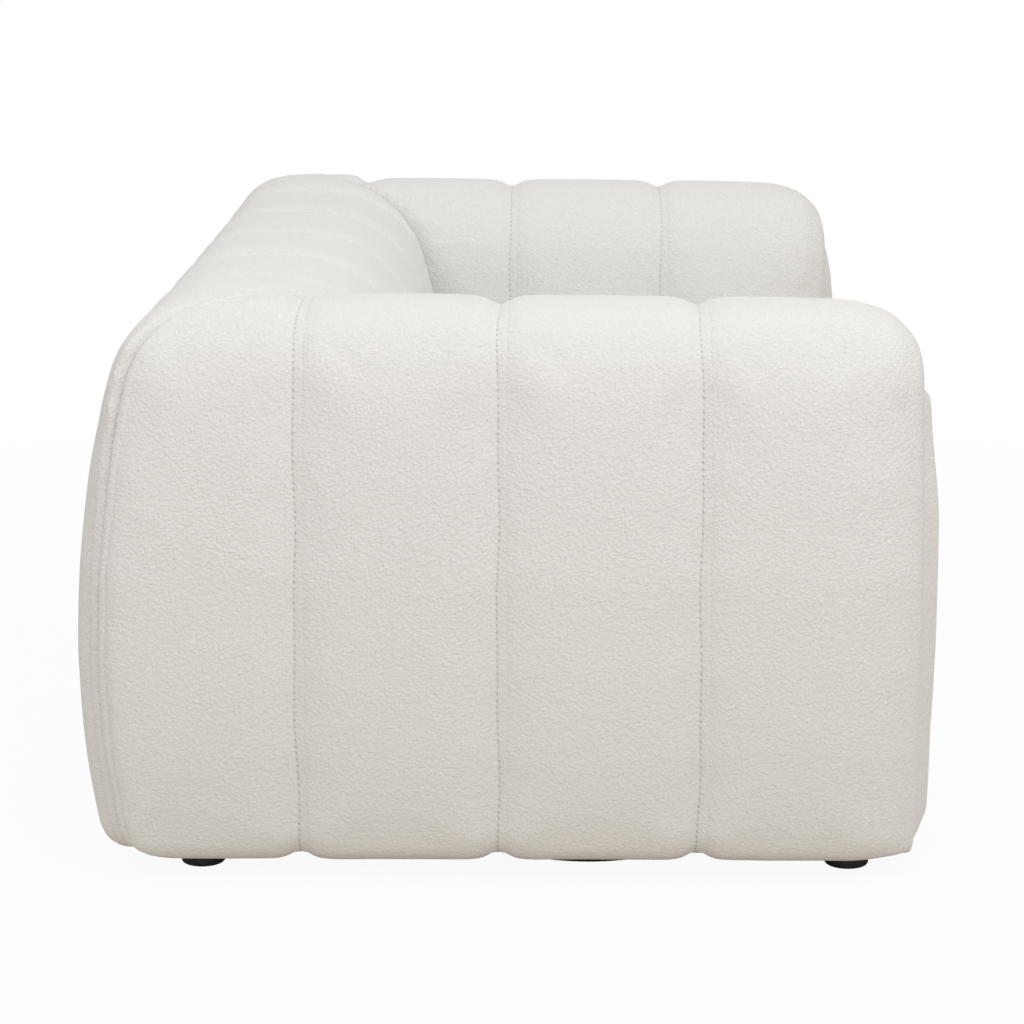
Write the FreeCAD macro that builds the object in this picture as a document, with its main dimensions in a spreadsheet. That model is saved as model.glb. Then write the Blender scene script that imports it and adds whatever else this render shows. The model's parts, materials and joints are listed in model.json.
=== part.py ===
import FreeCAD, Part

import math
import os

import Sketcher

from FreeCAD import Rotation, Vector

# Channelled two-seat sofa with arms as high as its back, in millimetres. X runs along the
# seat, the front looks to -Y, and the floor is Z = 0 below the middle of the sofa.
SIZES = (
    ("overall_length", 1600, "over the outer faces of both arms"),
    ("overall_depth", 1000, "front facings to the rear of the back"),
    ("crown_height", 665, "top of the arms and of the back"),
    ("crown_fall", 14, "drop of an arm's crown from its first seam to its front"),
    ("corner_rise", 6, "how far the corner channels stand above the crown"),
    ("cover_lift", 18, "underside of the cover above the floor"),
    ("belly_height", 260, "height at which the outer faces are fullest"),
    ("skirt_radius", 1300, "outer faces below the fullest line"),
    ("hem_radius", 48, "turn of the cover under the frame"),
    ("shoulder_radius", 100, "outer shoulder of the arms and back"),
    ("flank_lean", 40, "how far the outer faces lean in below the shoulder"),
    ("arm_width", 330, "thickness of an arm"),
    ("arm_inner_radius", 130, "inner shoulder of an arm"),
    ("arm_inner_lean", 4, "how far an arm's inner face leans below its shoulder"),
    ("back_depth", 382, "thickness of the back at the seat"),
    ("back_inner_radius", 150, "inner shoulder of the back"),
    ("back_inner_lean", 17, "how far the back's inner face leans below its shoulder"),
    ("inner_foot", 400, "height at which the inner faces become upright"),
    ("rear_seam", 255, "rear face of the back to an arm's first seam"),
    ("arm_channel", 231, "width of an arm's second and third channels"),
    ("seam_depth", 14, "depth of the seams between channels"),
    ("seam_run", 28, "width of a channel's rounding beside its seam"),
    ("seam_lip", 9, "seam to where a channel has risen most of the way"),
    ("lip_inset", 5, "depth still left at the seam's lip"),
    ("mitre_depth", 27, "depth of the corner seam in the faces"),
    ("mitre_crown", 7, "depth of the corner seam on the crown"),
    ("facing_rim", 76, "arm's outline to the outline of its front facing"),
    ("facing_bulge", 26, "face of a front facing beyond its rim"),
    ("facing_run", 72, "rim of a facing to the flat of its face"),
    ("facing_hem", 20, "lift of a facing's lower edge towards its face"),
    ("end_lip", 4, "last channel's lip round the front facing"),
    ("end_round", 70, "length over which an arm's last channel rounds off"),
    ("front_end", 30, "front of the facing to the end of the last channel"),
    ("seat_height", 420, "crown of the seat above the floor"),
    ("seat_recess", 30, "front of the facings to the front of the seat"),
    ("seat_thickness", 108, "seat channels over the foam"),
    ("seat_nose", 85, "radius of the seat's front edge"),
    ("seat_rear_radius", 22, "radius of the seat's rear edge"),
    ("front_padding", 62, "padding over the front rail"),
    ("fit_gap", 0.3, "room between a soft piece and its neighbour"),
    ("frame_lift", 22, "underside of the frame above the floor"),
    ("frame_inset", 76, "outer face of an arm to its frame"),
    ("frame_width", 152, "width of an arm's frame"),
    ("frame_rear", 88, "rear face of the back to its frame"),
    ("frame_front", 50, "front of the facing to the arm's frame"),
    ("back_frame_depth", 150, "depth of the back's frame"),
    ("top_padding", 89, "crown to the top of the frame"),
    ("frame_chamfer", 45, "bevel along the top of the frame"),
    ("board", 18, "thickness of the ribs and boards"),
    ("inner_panel", 12, "thickness of the arm's inner panel"),
    ("skin_panel", 4, "thickness of the hardboard panels"),
    ("rib_slot", 60, "width of the lightening slot in a rib"),
    ("slot_end", 95, "solid wood above and below the lightening slot"),
    ("deck_height", 245, "top of the seat frame above the floor"),
    ("rail", 25, "thickness of the seat rails"),
    ("centre_rail_drop", 30, "top of the seat frame to the top of its middle rail"),
    ("block_leg", 70, "legs of the corner blocks"),
    ("block_height", 150, "height of the corner blocks"),
    ("block_drop", 15, "top of the seat frame to the top of its corner blocks"),
    ("strap_width", 50, "width of the elastic webbing"),
    ("strap_thickness", 2, "thickness of the elastic webbing"),
    ("long_straps", 8, "webbing straps from front to rear"),
    ("cross_straps", 4, "webbing straps from side to side"),
    ("bolt_shank", 8, "shank of the frame bolts"),
    ("bolt_head", 15, "head and nut of the frame bolts, across the corners"),
    ("bolt_head_depth", 5, "thickness of a bolt head"),
    ("bolt_play", 0.6, "hole over the shank of a bolt or stud"),
    ("bolt_height", 130, "height of the frame bolts above the floor"),
    ("bolt_clearance", 40, "corner block to the middle of the nearest frame bolt"),
    ("nut_depth", 6, "thickness of a bolt's nut"),
    ("foot_diameter", 52, "glide under each corner"),
    ("foot_edge", 4, "bevel round the foot of a glide"),
    ("foot_side", 103, "outer face of an arm to the middle of its glides"),
    ("foot_rear", 135, "rear face of the back to the rear glides"),
    ("foot_front", 103, "front of the facings to the front glides"),
    ("stud", 8, "stud that holds a glide"),
    ("stud_socket", 10, "depth of the stud in its glide"),
    ("stud_reach", 15, "stud above the underside of the frame"),
    ("cloth", 1.2, "thickness of the bottom cloth"),
    ("cloth_inset", 1.5, "edge of the frame to the edge of the bottom cloth"),
)

SIDES = (("right", -1), ("left", 1))
LEAST_RADIUS = 5.0
# Greatest turn and greatest height of one chord where a soft profile's arc is drawn as chords
CHORD_TURN = math.radians(18)
CHORD_HEIGHT = 1.5
# Least share of a face's lean that is left where the face is drawn in furthest
LEAN_LEFT = 1 / 8

doc = FreeCAD.newDocument("channelled_sofa")
sheet = doc.addObject("Spreadsheet::Sheet", "Sizes")
for row, (alias, value, note) in enumerate(SIZES, 1):
    sheet.set(f"A{row}", alias)
    sheet.set(f"B{row}", str(value))
    sheet.set(f"C{row}", note)
    sheet.setAlias(f"B{row}", alias)
doc.recompute()


def size(alias):
    """Value of a named size, in millimetres."""
    return float(sheet.get(alias))


HALF_LENGTH = size("overall_length") / 2
HALF_DEPTH = size("overall_depth") / 2
GAP = size("fit_gap")
BELLY = size("belly_height")
ARM = size("arm_width")
BACK = size("back_depth")
nodes = []


def keep(thing, label):
    """Give a finished piece its own name and list it for the drawing set."""
    thing.Label = label
    nodes.append(thing)
    return thing


# Profiles. A profile is a list of edges in a plane of inset from the outer face and height:
# two points make a line and three make an arc.
def flank_radius(reach, radius, rise):
    """Radius of a long arc, upright at its foot, that runs smoothly into a shoulder arc."""
    return (reach**2 + rise**2 - radius**2) / (2 * (reach - radius))


def arc_edge(centre, radius, start, end):
    """Arc about a centre through three points, from one direction to another."""
    first = math.atan2(start[1] - centre[1], start[0] - centre[0])
    last = math.atan2(end[1] - centre[1], end[0] - centre[0])
    turn = (last - first + math.pi) % (2 * math.pi) - math.pi
    middle = first + turn / 2
    return (start, (centre[0] + radius * math.cos(middle), centre[1] + radius * math.sin(middle)), end)


def arc_of(edge):
    """Centre, radius, first angle and sweep of an arc through three points."""
    (ax, ay), (bx, by), (cx, cy) = edge
    turn = 2 * (ax * (by - cy) + bx * (cy - ay) + cx * (ay - by))
    aa, bb, cc = ax * ax + ay * ay, bx * bx + by * by, cx * cx + cy * cy
    x = (aa * (by - cy) + bb * (cy - ay) + cc * (ay - by)) / turn
    y = (aa * (cx - bx) + bb * (ax - cx) + cc * (bx - ax)) / turn
    first = math.atan2(ay - y, ax - x)
    sweep = (math.atan2(cy - y, cx - x) - first + math.pi) % (2 * math.pi) - math.pi
    return (x, y), math.dist((x, y), edge[0]), first, sweep


def chords(edge, count):
    """Corner points of an arc drawn as a number of equal chords, without its end."""
    centre, radius, first, sweep = arc_of(edge)
    angles = [first + sweep * n / count for n in range(1, count)]
    return [edge[0]] + [
        (centre[0] + radius * math.cos(a), centre[1] + radius * math.sin(a)) for a in angles
    ]


def chord_count(edge):
    """How many chords an arc needs to stay within the greatest turn and height."""
    _, radius, _, sweep = arc_of(edge)
    turn = min(CHORD_TURN, 2 * math.acos(1 - min(CHORD_HEIGHT / radius, 1)))
    return math.ceil(abs(sweep) / turn)


def outlines(profiles):
    """Profiles as closed outlines of straight edges, all with the same number of corners."""
    results = [[] for _ in profiles]
    for edges in zip(*profiles):
        if len(edges[0]) == 3:
            count = max(chord_count(edge) for edge in edges)
            for result, edge in zip(results, edges):
                result += chords(edge, count)
        else:
            for result, edge in zip(results, edges):
                result.append(edge[0])
    return results


def towards(centre, point, radius):
    """Point on the ray from a centre through another point, a radius away."""
    reach = math.dist(centre, point)
    return tuple(c + (p - c) * radius / reach for c, p in zip(centre, point))


def face_edges(side_inset, top_inset, top, radius, lean, foot):
    """Upright face from its foot over its shoulder to the crown, seen from the outside."""
    small = max(radius - top_inset, LEAST_RADIUS)
    centre = (radius + lean, top - radius)
    reach = max(centre[0] - side_inset, small + lean * LEAN_LEFT)
    long = flank_radius(reach, small, centre[1] - foot)
    base = (centre[0] - reach, foot)
    meet = towards((base[0] + long, foot), centre, long)
    flank = arc_edge((base[0] + long, foot), long, base, meet)
    shoulder = arc_edge(centre, small, meet, (centre[0], centre[1] + small))
    return [flank, shoulder]


def skirt_edges(side_inset, hem_inset):
    """Hem and skirt of an outer face, from the underside to its fullest line."""
    bottom = size("cover_lift") + hem_inset
    hem = max(size("hem_radius") - side_inset, LEAST_RADIUS)
    skirt = size("skirt_radius")
    rise = BELLY - bottom - hem
    centre = (skirt - math.sqrt((skirt - side_inset - hem) ** 2 - rise**2), bottom + hem)
    meet = towards((skirt, BELLY), centre, skirt - side_inset)
    return [
        arc_edge(centre, hem, (centre[0], bottom), meet),
        arc_edge((skirt, BELLY), skirt - side_inset, meet, (side_inset, BELLY)),
    ]


def outer_edges(side_inset, top_inset, hem_inset, top):
    """Outer face of an arm or of the back, from the underside to the crown."""
    face = face_edges(
        side_inset, top_inset, top, size("shoulder_radius"), size("flank_lean"), BELLY
    )
    return skirt_edges(side_inset, hem_inset) + face


def arch(width, inner_radius, inner_lean, insets, hem_inset, rise=0):
    """Closed arch over an arm or the back: outer face, crown, inner face and underside."""
    top = size("crown_height") + rise
    side_inset, top_inset, inner_inset = insets
    outer = outer_edges(side_inset, top_inset, hem_inset, top)
    inner = face_edges(inner_inset, top_inset, top, inner_radius, inner_lean, size("inner_foot"))
    inner = [tuple((width - w, z) for w, z in reversed(edge)) for edge in reversed(inner)]
    bottom = outer[0][0][1]
    low = (inner[-1][-1][0], bottom)
    crown = (outer[-1][-1], inner[0][0])
    return outer + [crown] + inner + [(inner[-1][-1], low), (low, outer[0][0])]


def crown_drop(y):
    """How far an arm's crown has dropped, ever faster from its first seam to its front."""
    start = HALF_DEPTH - size("rear_seam")
    end = -HALF_DEPTH + size("front_end") + size("end_round")
    share = min(max((start - y) / (start - end), 0), 1)
    return size("crown_fall") * share**2


def arm_arch(y, inset, hem_inset=None):
    """Section across an arm at a place along it, drawn in all round by an inset."""
    hem = min(inset, size("seam_depth")) if hem_inset is None else hem_inset
    lean = size("arm_inner_lean")
    insets = (inset, inset, inset)
    return arch(ARM, size("arm_inner_radius"), lean, insets, hem, -crown_drop(y))


def back_arch(inset):
    """Section across the back, drawn in all round by an inset."""
    lean = size("back_inner_lean")
    return arch(BACK, size("back_inner_radius"), lean, (inset, inset, inset), inset)


def loft(profiles, places):
    """Solid through the given profiles, each put in space by its own place function."""
    wires = []
    for outline, place in zip(outlines(profiles), places):
        corners = [place(w, z) for w, z in outline]
        wires.append(Part.makePolygon(corners + corners[:1]))
    solid = Part.makeLoft(wires, True, True)
    if solid.Volume < 0:
        solid.reverse()
    return solid


def soft_form(name, shape):
    """Filled channel before the room for the frame is taken out of it."""
    form = doc.addObject("Part::Feature", name + "_form")
    form.Shape = shape
    return form


def hollow(label, form, room):
    """Channel with the room for what it covers taken out."""
    piece = doc.addObject("Part::Cut", label)
    piece.Base = form
    piece.Tool = room
    return keep(piece, label)


def channel_stations(start, end):
    """Places and insets across a channel, pinched at both seams and full between them."""
    rising = ((0, size("seam_depth")), (size("seam_lip"), size("lip_inset")), (size("seam_run"), 0))
    near = [(start + place, inset) for place, inset in rising]
    far = [(end - place, inset) for place, inset in reversed(rising)]
    return near + far


# The room inside the cover, which the timber frame fills.
def bar(name, low, high):
    """Box between two corners, each corner given as expressions on the sizes."""
    box = doc.addObject("Part::Box", name)
    for axis, size_name, a, b in zip("xyz", ("Length", "Width", "Height"), low, high):
        box.setExpression(size_name, f"({b}) - ({a})")
        box.setExpression(f"Placement.Base.{axis}", a)
    return box


def on_side(sign, near, far):
    """Ends along X of what lies between two distances from the middle, on one side."""
    if sign > 0:
        return near, far
    return f"-({far})", f"-({near})"


HALF_X = "Sizes.overall_length / 2"
FRAME_OUT = f"({HALF_X} - Sizes.frame_inset)"
FRAME_IN = f"({FRAME_OUT} - Sizes.frame_width)"
FRONT = "(-Sizes.overall_depth / 2)"
REAR = "(Sizes.overall_depth / 2)"
ARM_FRONT = f"({FRONT} + Sizes.frame_front)"
BACK_REAR = f"({REAR} - Sizes.frame_rear)"
BACK_FRONT = f"({BACK_REAR} - Sizes.back_frame_depth)"
SEAT_FRONT = f"({FRONT} + Sizes.seat_recess)"
RAIL_FRONT = f"({SEAT_FRONT} + Sizes.front_padding)"
FRAME_TOP = "(Sizes.crown_height - Sizes.top_padding)"
BEVEL = "Sizes.frame_chamfer"
LOW = "Sizes.frame_lift"
DECK = "Sizes.deck_height"


def frame_room():
    """Space of the arm frames, the back frame and the seat frame, with a little play."""
    out = HALF_LENGTH - size("frame_inset") + GAP
    inn = HALF_LENGTH - size("frame_inset") - size("frame_width") - GAP
    rear = HALF_DEPTH - size("frame_rear") + GAP
    front = rear - size("back_frame_depth") - 2 * GAP
    arm_front = -HALF_DEPTH + size("frame_front") - GAP
    rail_front = -HALF_DEPTH + size("seat_recess") + size("front_padding") - GAP
    top = size("crown_height") - size("top_padding") + GAP
    bevel = size("frame_chamfer")
    spaces = []
    for _, sign in SIDES:
        outline = [(inn, 0), (inn, top - bevel), (inn + bevel, top), (out - bevel, top)]
        outline += [(out, top - bevel), (out, 0), (inn, 0)]
        face = Part.Face(Part.makePolygon([Vector(sign * x, arm_front, z) for x, z in outline]))
        spaces.append(face.extrude(Vector(0, rear - arm_front, 0)))
    outline = [(front, 0), (front, top - bevel), (front + bevel, top), (rear - bevel, top)]
    outline += [(rear, top - bevel), (rear, 0), (front, 0)]
    reach = inn + 2 * GAP
    face = Part.Face(Part.makePolygon([Vector(-reach, y, z) for y, z in outline]))
    spaces.append(face.extrude(Vector(2 * reach, 0, 0)))
    deck = size("deck_height") + 2 * size("strap_thickness") + 2 * GAP
    spaces.append(Part.makeBox(2 * inn, front - rail_front, deck, Vector(-inn, rail_front, 0)))
    return spaces


room = doc.addObject("Part::Feature", "frame_room")
spaces = frame_room()
room.Shape = spaces[0].fuse(spaces[1:]).removeSplitter()

# Channelled upholstery. The corner seam runs on a mitre from the outer corner of the back to
# the inner corner of the seat, and the channels on both sides of it fan about their inner edge.
MITRE = math.hypot(ARM, BACK)
MITRE_W = BACK / MITRE
MITRE_Y = ARM / MITRE
MITRE_OFFSET = MITRE_Y * HALF_DEPTH
AXIS_ROOM = 3.0
END_STEPS = 3
# Shares of a corner fan's turn: its seam's lip, where it is full, and where it turns in again
FAN_LIP, FAN_FULL, FAN_TURN = 0.04, 0.14, 0.84
# Shares of a facing's run at its rim, its slope and its face, with the bulge still to rise
FACING_STEPS = ((0, 1), (0.45, 0.55), (1, 0))


def side_x(sign, w):
    """Place along X of an inset from an arm's outer face."""
    return sign * (HALF_LENGTH - w)


def arm_plane(sign, y):
    """Puts a section across an arm at a place along it."""
    return lambda w, z: Vector(side_x(sign, w), y, z)


def back_plane(x):
    """Puts a section across the back at a place along it."""
    return lambda v, z: Vector(x, HALF_DEPTH - v, z)


def corner_insets():
    """Insets along a corner fan: share of the turn, side inset, crown inset and rise."""
    deep = size("seam_depth")
    lip = size("lip_inset")
    rise = size("corner_rise")
    side, crown = size("mitre_depth"), size("mitre_crown")
    return (
        (0.0, deep, deep, 0),
        (FAN_LIP, lip, lip, rise / 2),
        (FAN_FULL, 0, 0, rise),
        (FAN_TURN, 0, 0, rise),
        (1.0, side, crown, rise),
    )


def wedge_channel(sign):
    """Arm's first channel: an outer face whose top is cut short by the corner seam."""
    seam = HALF_DEPTH - size("rear_seam") + GAP / 2
    axis = (MITRE_OFFSET - GAP / 2 - MITRE_Y * seam) / MITRE_W - AXIS_ROOM
    corner = (MITRE_OFFSET - GAP / 2) / MITRE_Y
    slope = (corner - seam) / (axis + AXIS_ROOM)
    profiles = []
    places = []
    for share, side_inset, top_inset, rise in corner_insets():
        top = size("crown_height") + rise
        edges = outer_edges(side_inset, top_inset, min(side_inset, size("seam_depth")), top)
        start = edges[0][0]
        inner_top = (axis, edges[-1][-1][1])
        inner_low = (axis, start[1])
        edges += [(edges[-1][-1], inner_top), (inner_top, inner_low), (inner_low, start)]
        turn = slope * share
        profiles.append(edges)
        places.append(
            lambda w, z, turn=turn: Vector(side_x(sign, w), seam + (axis + AXIS_ROOM - w) * turn, z)
        )
    return loft(profiles, places)


def corner_channel(sign):
    """Back's end channel: a full arch at its seam that closes on the corner seam."""
    seam = ARM - GAP / 2
    axis = HALF_DEPTH - (MITRE_OFFSET + GAP / 2 - MITRE_W * seam) / MITRE_Y
    corner = (MITRE_OFFSET + GAP / 2 - MITRE_Y * HALF_DEPTH) / MITRE_W
    slope = (seam - corner) / axis
    radius, lean = size("back_inner_radius"), size("back_inner_lean")
    profiles = []
    places = []
    for share, side_inset, top_inset, rise in corner_insets():
        turn = slope * share
        side_inset = side_inset * BACK / ARM
        insets = (side_inset, top_inset, top_inset)
        hem = min(side_inset, size("seam_depth"))
        profiles.append(arch(axis - AXIS_ROOM + top_inset, radius, lean, insets, hem, rise))
        places.append(
            lambda v, z, turn=turn: Vector(
                side_x(sign, seam - (axis - v) * turn), HALF_DEPTH - v, z
            )
        )
    return loft(profiles, places)


def mitre_side(sign):
    """Everything behind the corner seam, which the arm's second channel stops at."""
    reach = 2 * MITRE
    far = 2 * size("crown_height")
    inner = (ARM + MITRE_Y * reach, HALF_DEPTH - BACK - MITRE_W * reach)
    outer = (-MITRE_Y * reach, HALF_DEPTH + MITRE_W * reach)
    shift = (MITRE_W * GAP / 2, MITRE_Y * GAP / 2)
    corners = [inner, outer, (inner[0] + reach * MITRE_W, outer[1])]
    points = [Vector(side_x(sign, w - shift[0]), y - shift[1], -far) for w, y in corners]
    return Part.Face(Part.makePolygon(points + points[:1])).extrude(Vector(0, 0, 3 * far))


def arm_channel(sign, start, end):
    """Channel between two seams across an arm, from its front seam to its rear seam."""
    stations = channel_stations(start + GAP / 2, end - GAP / 2)
    profiles = [arm_arch(y, inset) for y, inset in stations]
    return loft(profiles, [arm_plane(sign, y) for y, _ in stations])


def arm_end_channel(sign, end):
    """Arm's last channel, which rounds off at the front down to the facing."""
    front = -HALF_DEPTH + size("front_end")
    length = size("end_round")
    rim = size("facing_rim") - size("end_lip")
    near_seam = channel_stations(front, end - GAP / 2)[3:]
    profiles = [arm_arch(y, inset) for y, inset in reversed(near_seam)]
    places = [arm_plane(sign, y) for y, _ in reversed(near_seam)]
    for step in range(END_STEPS + 1):
        turn = math.pi / 2 * step / END_STEPS
        inset = rim * (1 - math.cos(turn))
        y = front + length * (1 - math.sin(turn))
        profiles.append(arm_arch(y, inset, min(inset, size("end_lip"))))
        places.append(arm_plane(sign, y))
    return loft(profiles, places)


def facing_recess(sign):
    """Room in the end of an arm's last channel that its front facing sits in."""
    base = -HALF_DEPTH + size("frame_front")
    profile = arm_arch(base, size("facing_rim") + GAP, GAP)
    return loft([profile, profile], [arm_plane(sign, base), arm_plane(sign, -HALF_DEPTH)])


def facing(sign):
    """Arched panel on an arm's front: a flat base in the rim and a crowned face."""
    rim = size("facing_rim") + 2 * GAP
    base = -HALF_DEPTH + size("frame_front") - GAP
    stations = [(base, 0)]
    for share, left in FACING_STEPS:
        stations.append((-HALF_DEPTH + size("facing_bulge") * left, share))
    profiles = []
    for _, share in stations:
        inset = rim + size("facing_run") * share
        profiles.append(arm_arch(base, inset, 2 * GAP + size("facing_hem") * share))
    return loft(profiles, [arm_plane(sign, y) for y, _ in stations])


arm_seams = [HALF_DEPTH - size("rear_seam") - n * size("arm_channel") for n in range(3)]
for side, sign in SIDES:
    hollow(f"{side}_arm_channel_1", soft_form(f"{side}_arm_1", wedge_channel(sign)), room)
    second = arm_channel(sign, arm_seams[1], arm_seams[0]).cut(mitre_side(sign))
    hollow(f"{side}_arm_channel_2", soft_form(f"{side}_arm_2", second), room)
    third = arm_channel(sign, arm_seams[2], arm_seams[1])
    hollow(f"{side}_arm_channel_3", soft_form(f"{side}_arm_3", third), room)
    last = arm_end_channel(sign, arm_seams[2]).cut(facing_recess(sign))
    front_panel = soft_form(f"{side}_facing", facing(sign))
    end_form = soft_form(f"{side}_arm_4", last)
    hollow(f"{side}_arm_channel_4", end_form, room)
    keep(front_panel, f"{side}_arm_front_facing")

back_count = 4
inner_half = HALF_LENGTH - ARM
back_width = 2 * inner_half / back_count
back_seams = [-inner_half + n * back_width for n in range(back_count + 1)]
hollow("back_channel_1", soft_form("back_1", corner_channel(-1)), room)
for number, (start, end) in enumerate(zip(back_seams, back_seams[1:]), 2):
    stations = channel_stations(start + GAP / 2, end - GAP / 2)
    profiles = [back_arch(inset) for _, inset in stations]
    shape = loft(profiles, [back_plane(x) for x, _ in stations])
    hollow(f"back_channel_{number}", soft_form(f"back_{number}", shape), room)
hollow("back_channel_6", soft_form("back_6", corner_channel(1)), room)


def seat_profile(inset):
    """Seat channel from the back, over its nose and down the front, from below the top."""
    rear = HALF_DEPTH - BACK - GAP
    front = -HALF_DEPTH + size("seat_recess") + inset
    top = size("seat_height") - inset
    foam_top = size("seat_height") - size("seat_thickness")
    rail_face = -HALF_DEPTH + size("seat_recess") + size("front_padding") - GAP
    nose = size("seat_nose") - inset
    small = size("seat_rear_radius")
    hem = size("hem_radius") - inset
    bottom = size("cover_lift") + inset
    nose_centre = (front + nose, top - nose)
    rear_centre = (rear - small, top - small)
    hem_centre = (front + hem, bottom + hem)
    return [
        ((rear, foam_top), (rear, rear_centre[1])),
        arc_edge(rear_centre, small, (rear, rear_centre[1]), (rear_centre[0], top)),
        ((rear_centre[0], top), (nose_centre[0], top)),
        arc_edge(nose_centre, nose, (nose_centre[0], top), (front, nose_centre[1])),
        ((front, nose_centre[1]), (front, hem_centre[1])),
        arc_edge(hem_centre, hem, (front, hem_centre[1]), (hem_centre[0], bottom)),
        ((hem_centre[0], bottom), (rail_face, bottom)),
        ((rail_face, bottom), (rail_face, foam_top)),
        ((rail_face, foam_top), (rear, foam_top)),
    ]


seat_left = inner_half - GAP
for number in range(back_count):
    start = max(back_seams[number], -seat_left) + GAP / 2
    end = min(back_seams[number + 1], seat_left) - GAP / 2
    stations = channel_stations(start, end)
    profiles = [seat_profile(inset) for _, inset in stations]
    places = [lambda y, z, x=x: Vector(x, y, z) for x, _ in stations]
    piece = soft_form(f"seat_{number + 1}", loft(profiles, places))
    keep(piece, f"seat_channel_{number + 1}")


# Timber frame. The arms and the back are box frames of ribs between boards, with thin panels
# outside, and the seat is a frame of rails between them.
def draw_outline(sketch, points):
    """Closed outline in a sketch, each corner held by a pair of expressions."""
    first = sketch.GeometryCount
    count = len(points)
    turns = [2 * math.pi * n / count for n in range(count + 1)]
    rough = [Vector(ROUGH_SIZE * math.cos(a), ROUGH_SIZE * math.sin(a), 0) for a in turns]
    for start, end in zip(rough, rough[1:]):
        sketch.addGeometry(Part.LineSegment(start, end), False)
    for n in range(count):
        following = first + (n + 1) % count
        sketch.addConstraint(Sketcher.Constraint("Coincident", first + n, 2, following, 1))
    for n, corner in enumerate(points):
        for kind, value in zip(("DistanceX", "DistanceY"), corner):
            held = Sketcher.Constraint(kind, -1, 1, first + n, 1, 1.0)
            index = sketch.addConstraint(held)
            sketch.setExpression(f"Constraints[{index}]", value)


def outline_sketch(body, plane, outlines_drawn):
    """Sketch of one or more outlines on one of a body's own origin planes."""
    base = next(f for f in body.Origin.OriginFeatures if f.Role == plane)
    sketch = body.newObject("Sketcher::SketchObject", body.Name + "_outline")
    sketch.AttachmentSupport = (base, "")
    sketch.MapMode = "FlatFace"
    for points in outlines_drawn:
        draw_outline(sketch, points)
    return sketch


def board(name, plane, drawn, thickness, place):
    """Flat board cut to an outline, with any slot as a second outline inside the first."""
    body = doc.addObject("PartDesign::Body", name)
    sketch = outline_sketch(body, plane, drawn)
    pad = body.newObject("PartDesign::Pad", name + "_board")
    pad.Profile = sketch
    pad.setExpression("Length", thickness)
    body.Tip = pad
    axis, value = place
    body.setExpression(f"Placement.Base.{axis}", value)
    return body


def turned(name, points, place):
    """Solid of revolution about its own upright axis, standing at a place."""
    body = doc.addObject("PartDesign::Body", name)
    sketch = outline_sketch(body, "XZ_Plane", [points])
    spun = body.newObject("PartDesign::Revolution", name + "_spun")
    spun.Profile = sketch
    spun.ReferenceAxis = (sketch, ["V_Axis"])
    spun.Angle = 360
    body.Tip = spun
    for axis, value in zip("xyz", place):
        body.setExpression(f"Placement.Base.{axis}", value)
    return body


def put(thing, place, rotation):
    """Turn a primitive and bind its place to expressions."""
    thing.Placement = FreeCAD.Placement(Vector(0, 0, 0), rotation)
    for axis, value in zip("xyz", place):
        thing.setExpression(f"Placement.Base.{axis}", value)
    return thing


def rod(name, radius, length, place, rotation):
    """Cylinder from a place along a turned axis."""
    cylinder = doc.addObject("Part::Cylinder", name)
    cylinder.setExpression("Radius", radius)
    cylinder.setExpression("Height", length)
    return put(cylinder, place, rotation)


def along_x(sign, place, shift):
    """Place moved outwards along X on one side."""
    return (f"{place[0]} + {mirrored(sign, shift)}", *place[1:])


def together(name, things):
    """Group of things that are one node."""
    group = doc.addObject("Part::Compound", name)
    group.Links = things
    return group


def bored(label, blank, tools):
    """Board with holes: the blank less one rod for each hole."""
    piece = doc.addObject("Part::Cut", label)
    piece.Base = blank
    piece.Tool = together(label + "_holes", tools) if len(tools) > 1 else tools[0]
    return keep(piece, label)


def mirrored(sign, value):
    """Expression for the same distance on either side of the middle."""
    return value if sign > 0 else f"-({value})"


ROUGH_SIZE = 40
UPRIGHT = Rotation(Vector(0, 0, 1), 0)
ALONG_X = Rotation(Vector(0, 1, 0), 90)
PLY = "Sizes.board"
SKIN = "Sizes.skin_panel"
INNER = "Sizes.inner_panel"
RAIL = "Sizes.rail"
RIB_LOW = f"({LOW} + {PLY})"
RIB_TOP = f"({FRAME_TOP} - {PLY})"
PANEL_TOP = f"({FRAME_TOP} - {BEVEL})"
SLOT_LOW = f"({RIB_LOW} + Sizes.slot_end)"
SLOT_TOP = f"({RIB_TOP} - Sizes.slot_end)"
SHANK_ROOM = "(Sizes.bolt_shank + Sizes.bolt_play) / 2"
STUD_ROOM = "(Sizes.stud + Sizes.bolt_play) / 2"


def rib_outline(near, near_skin, far, far_skin, sign=1):
    """Rib of a box frame between its two skins, with the bevels along its top."""
    low = f"({near} + {near_skin})"
    high = f"({far} - {far_skin})"
    corners = [
        (low, RIB_LOW),
        (low, f"{PANEL_TOP} + {near_skin}"),
        (f"{near} + {BEVEL} - {PLY}", RIB_TOP),
        (f"{far} - {BEVEL} + {PLY}", RIB_TOP),
        (high, f"{PANEL_TOP} + {far_skin}"),
        (high, RIB_LOW),
    ]
    return [(mirrored(sign, across), up) for across, up in corners]


def slot_outline(near, far, sign=1):
    """Lightening slot up the middle of a rib."""
    middle = f"(({near}) + ({far})) / 2"
    half = "Sizes.rib_slot / 2"
    corners = [(f"{middle} - {half}", SLOT_LOW), (f"{middle} - {half}", SLOT_TOP)]
    corners += [(f"{middle} + {half}", SLOT_TOP), (f"{middle} + {half}", SLOT_LOW)]
    return [(mirrored(sign, across), up) for across, up in corners]


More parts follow.
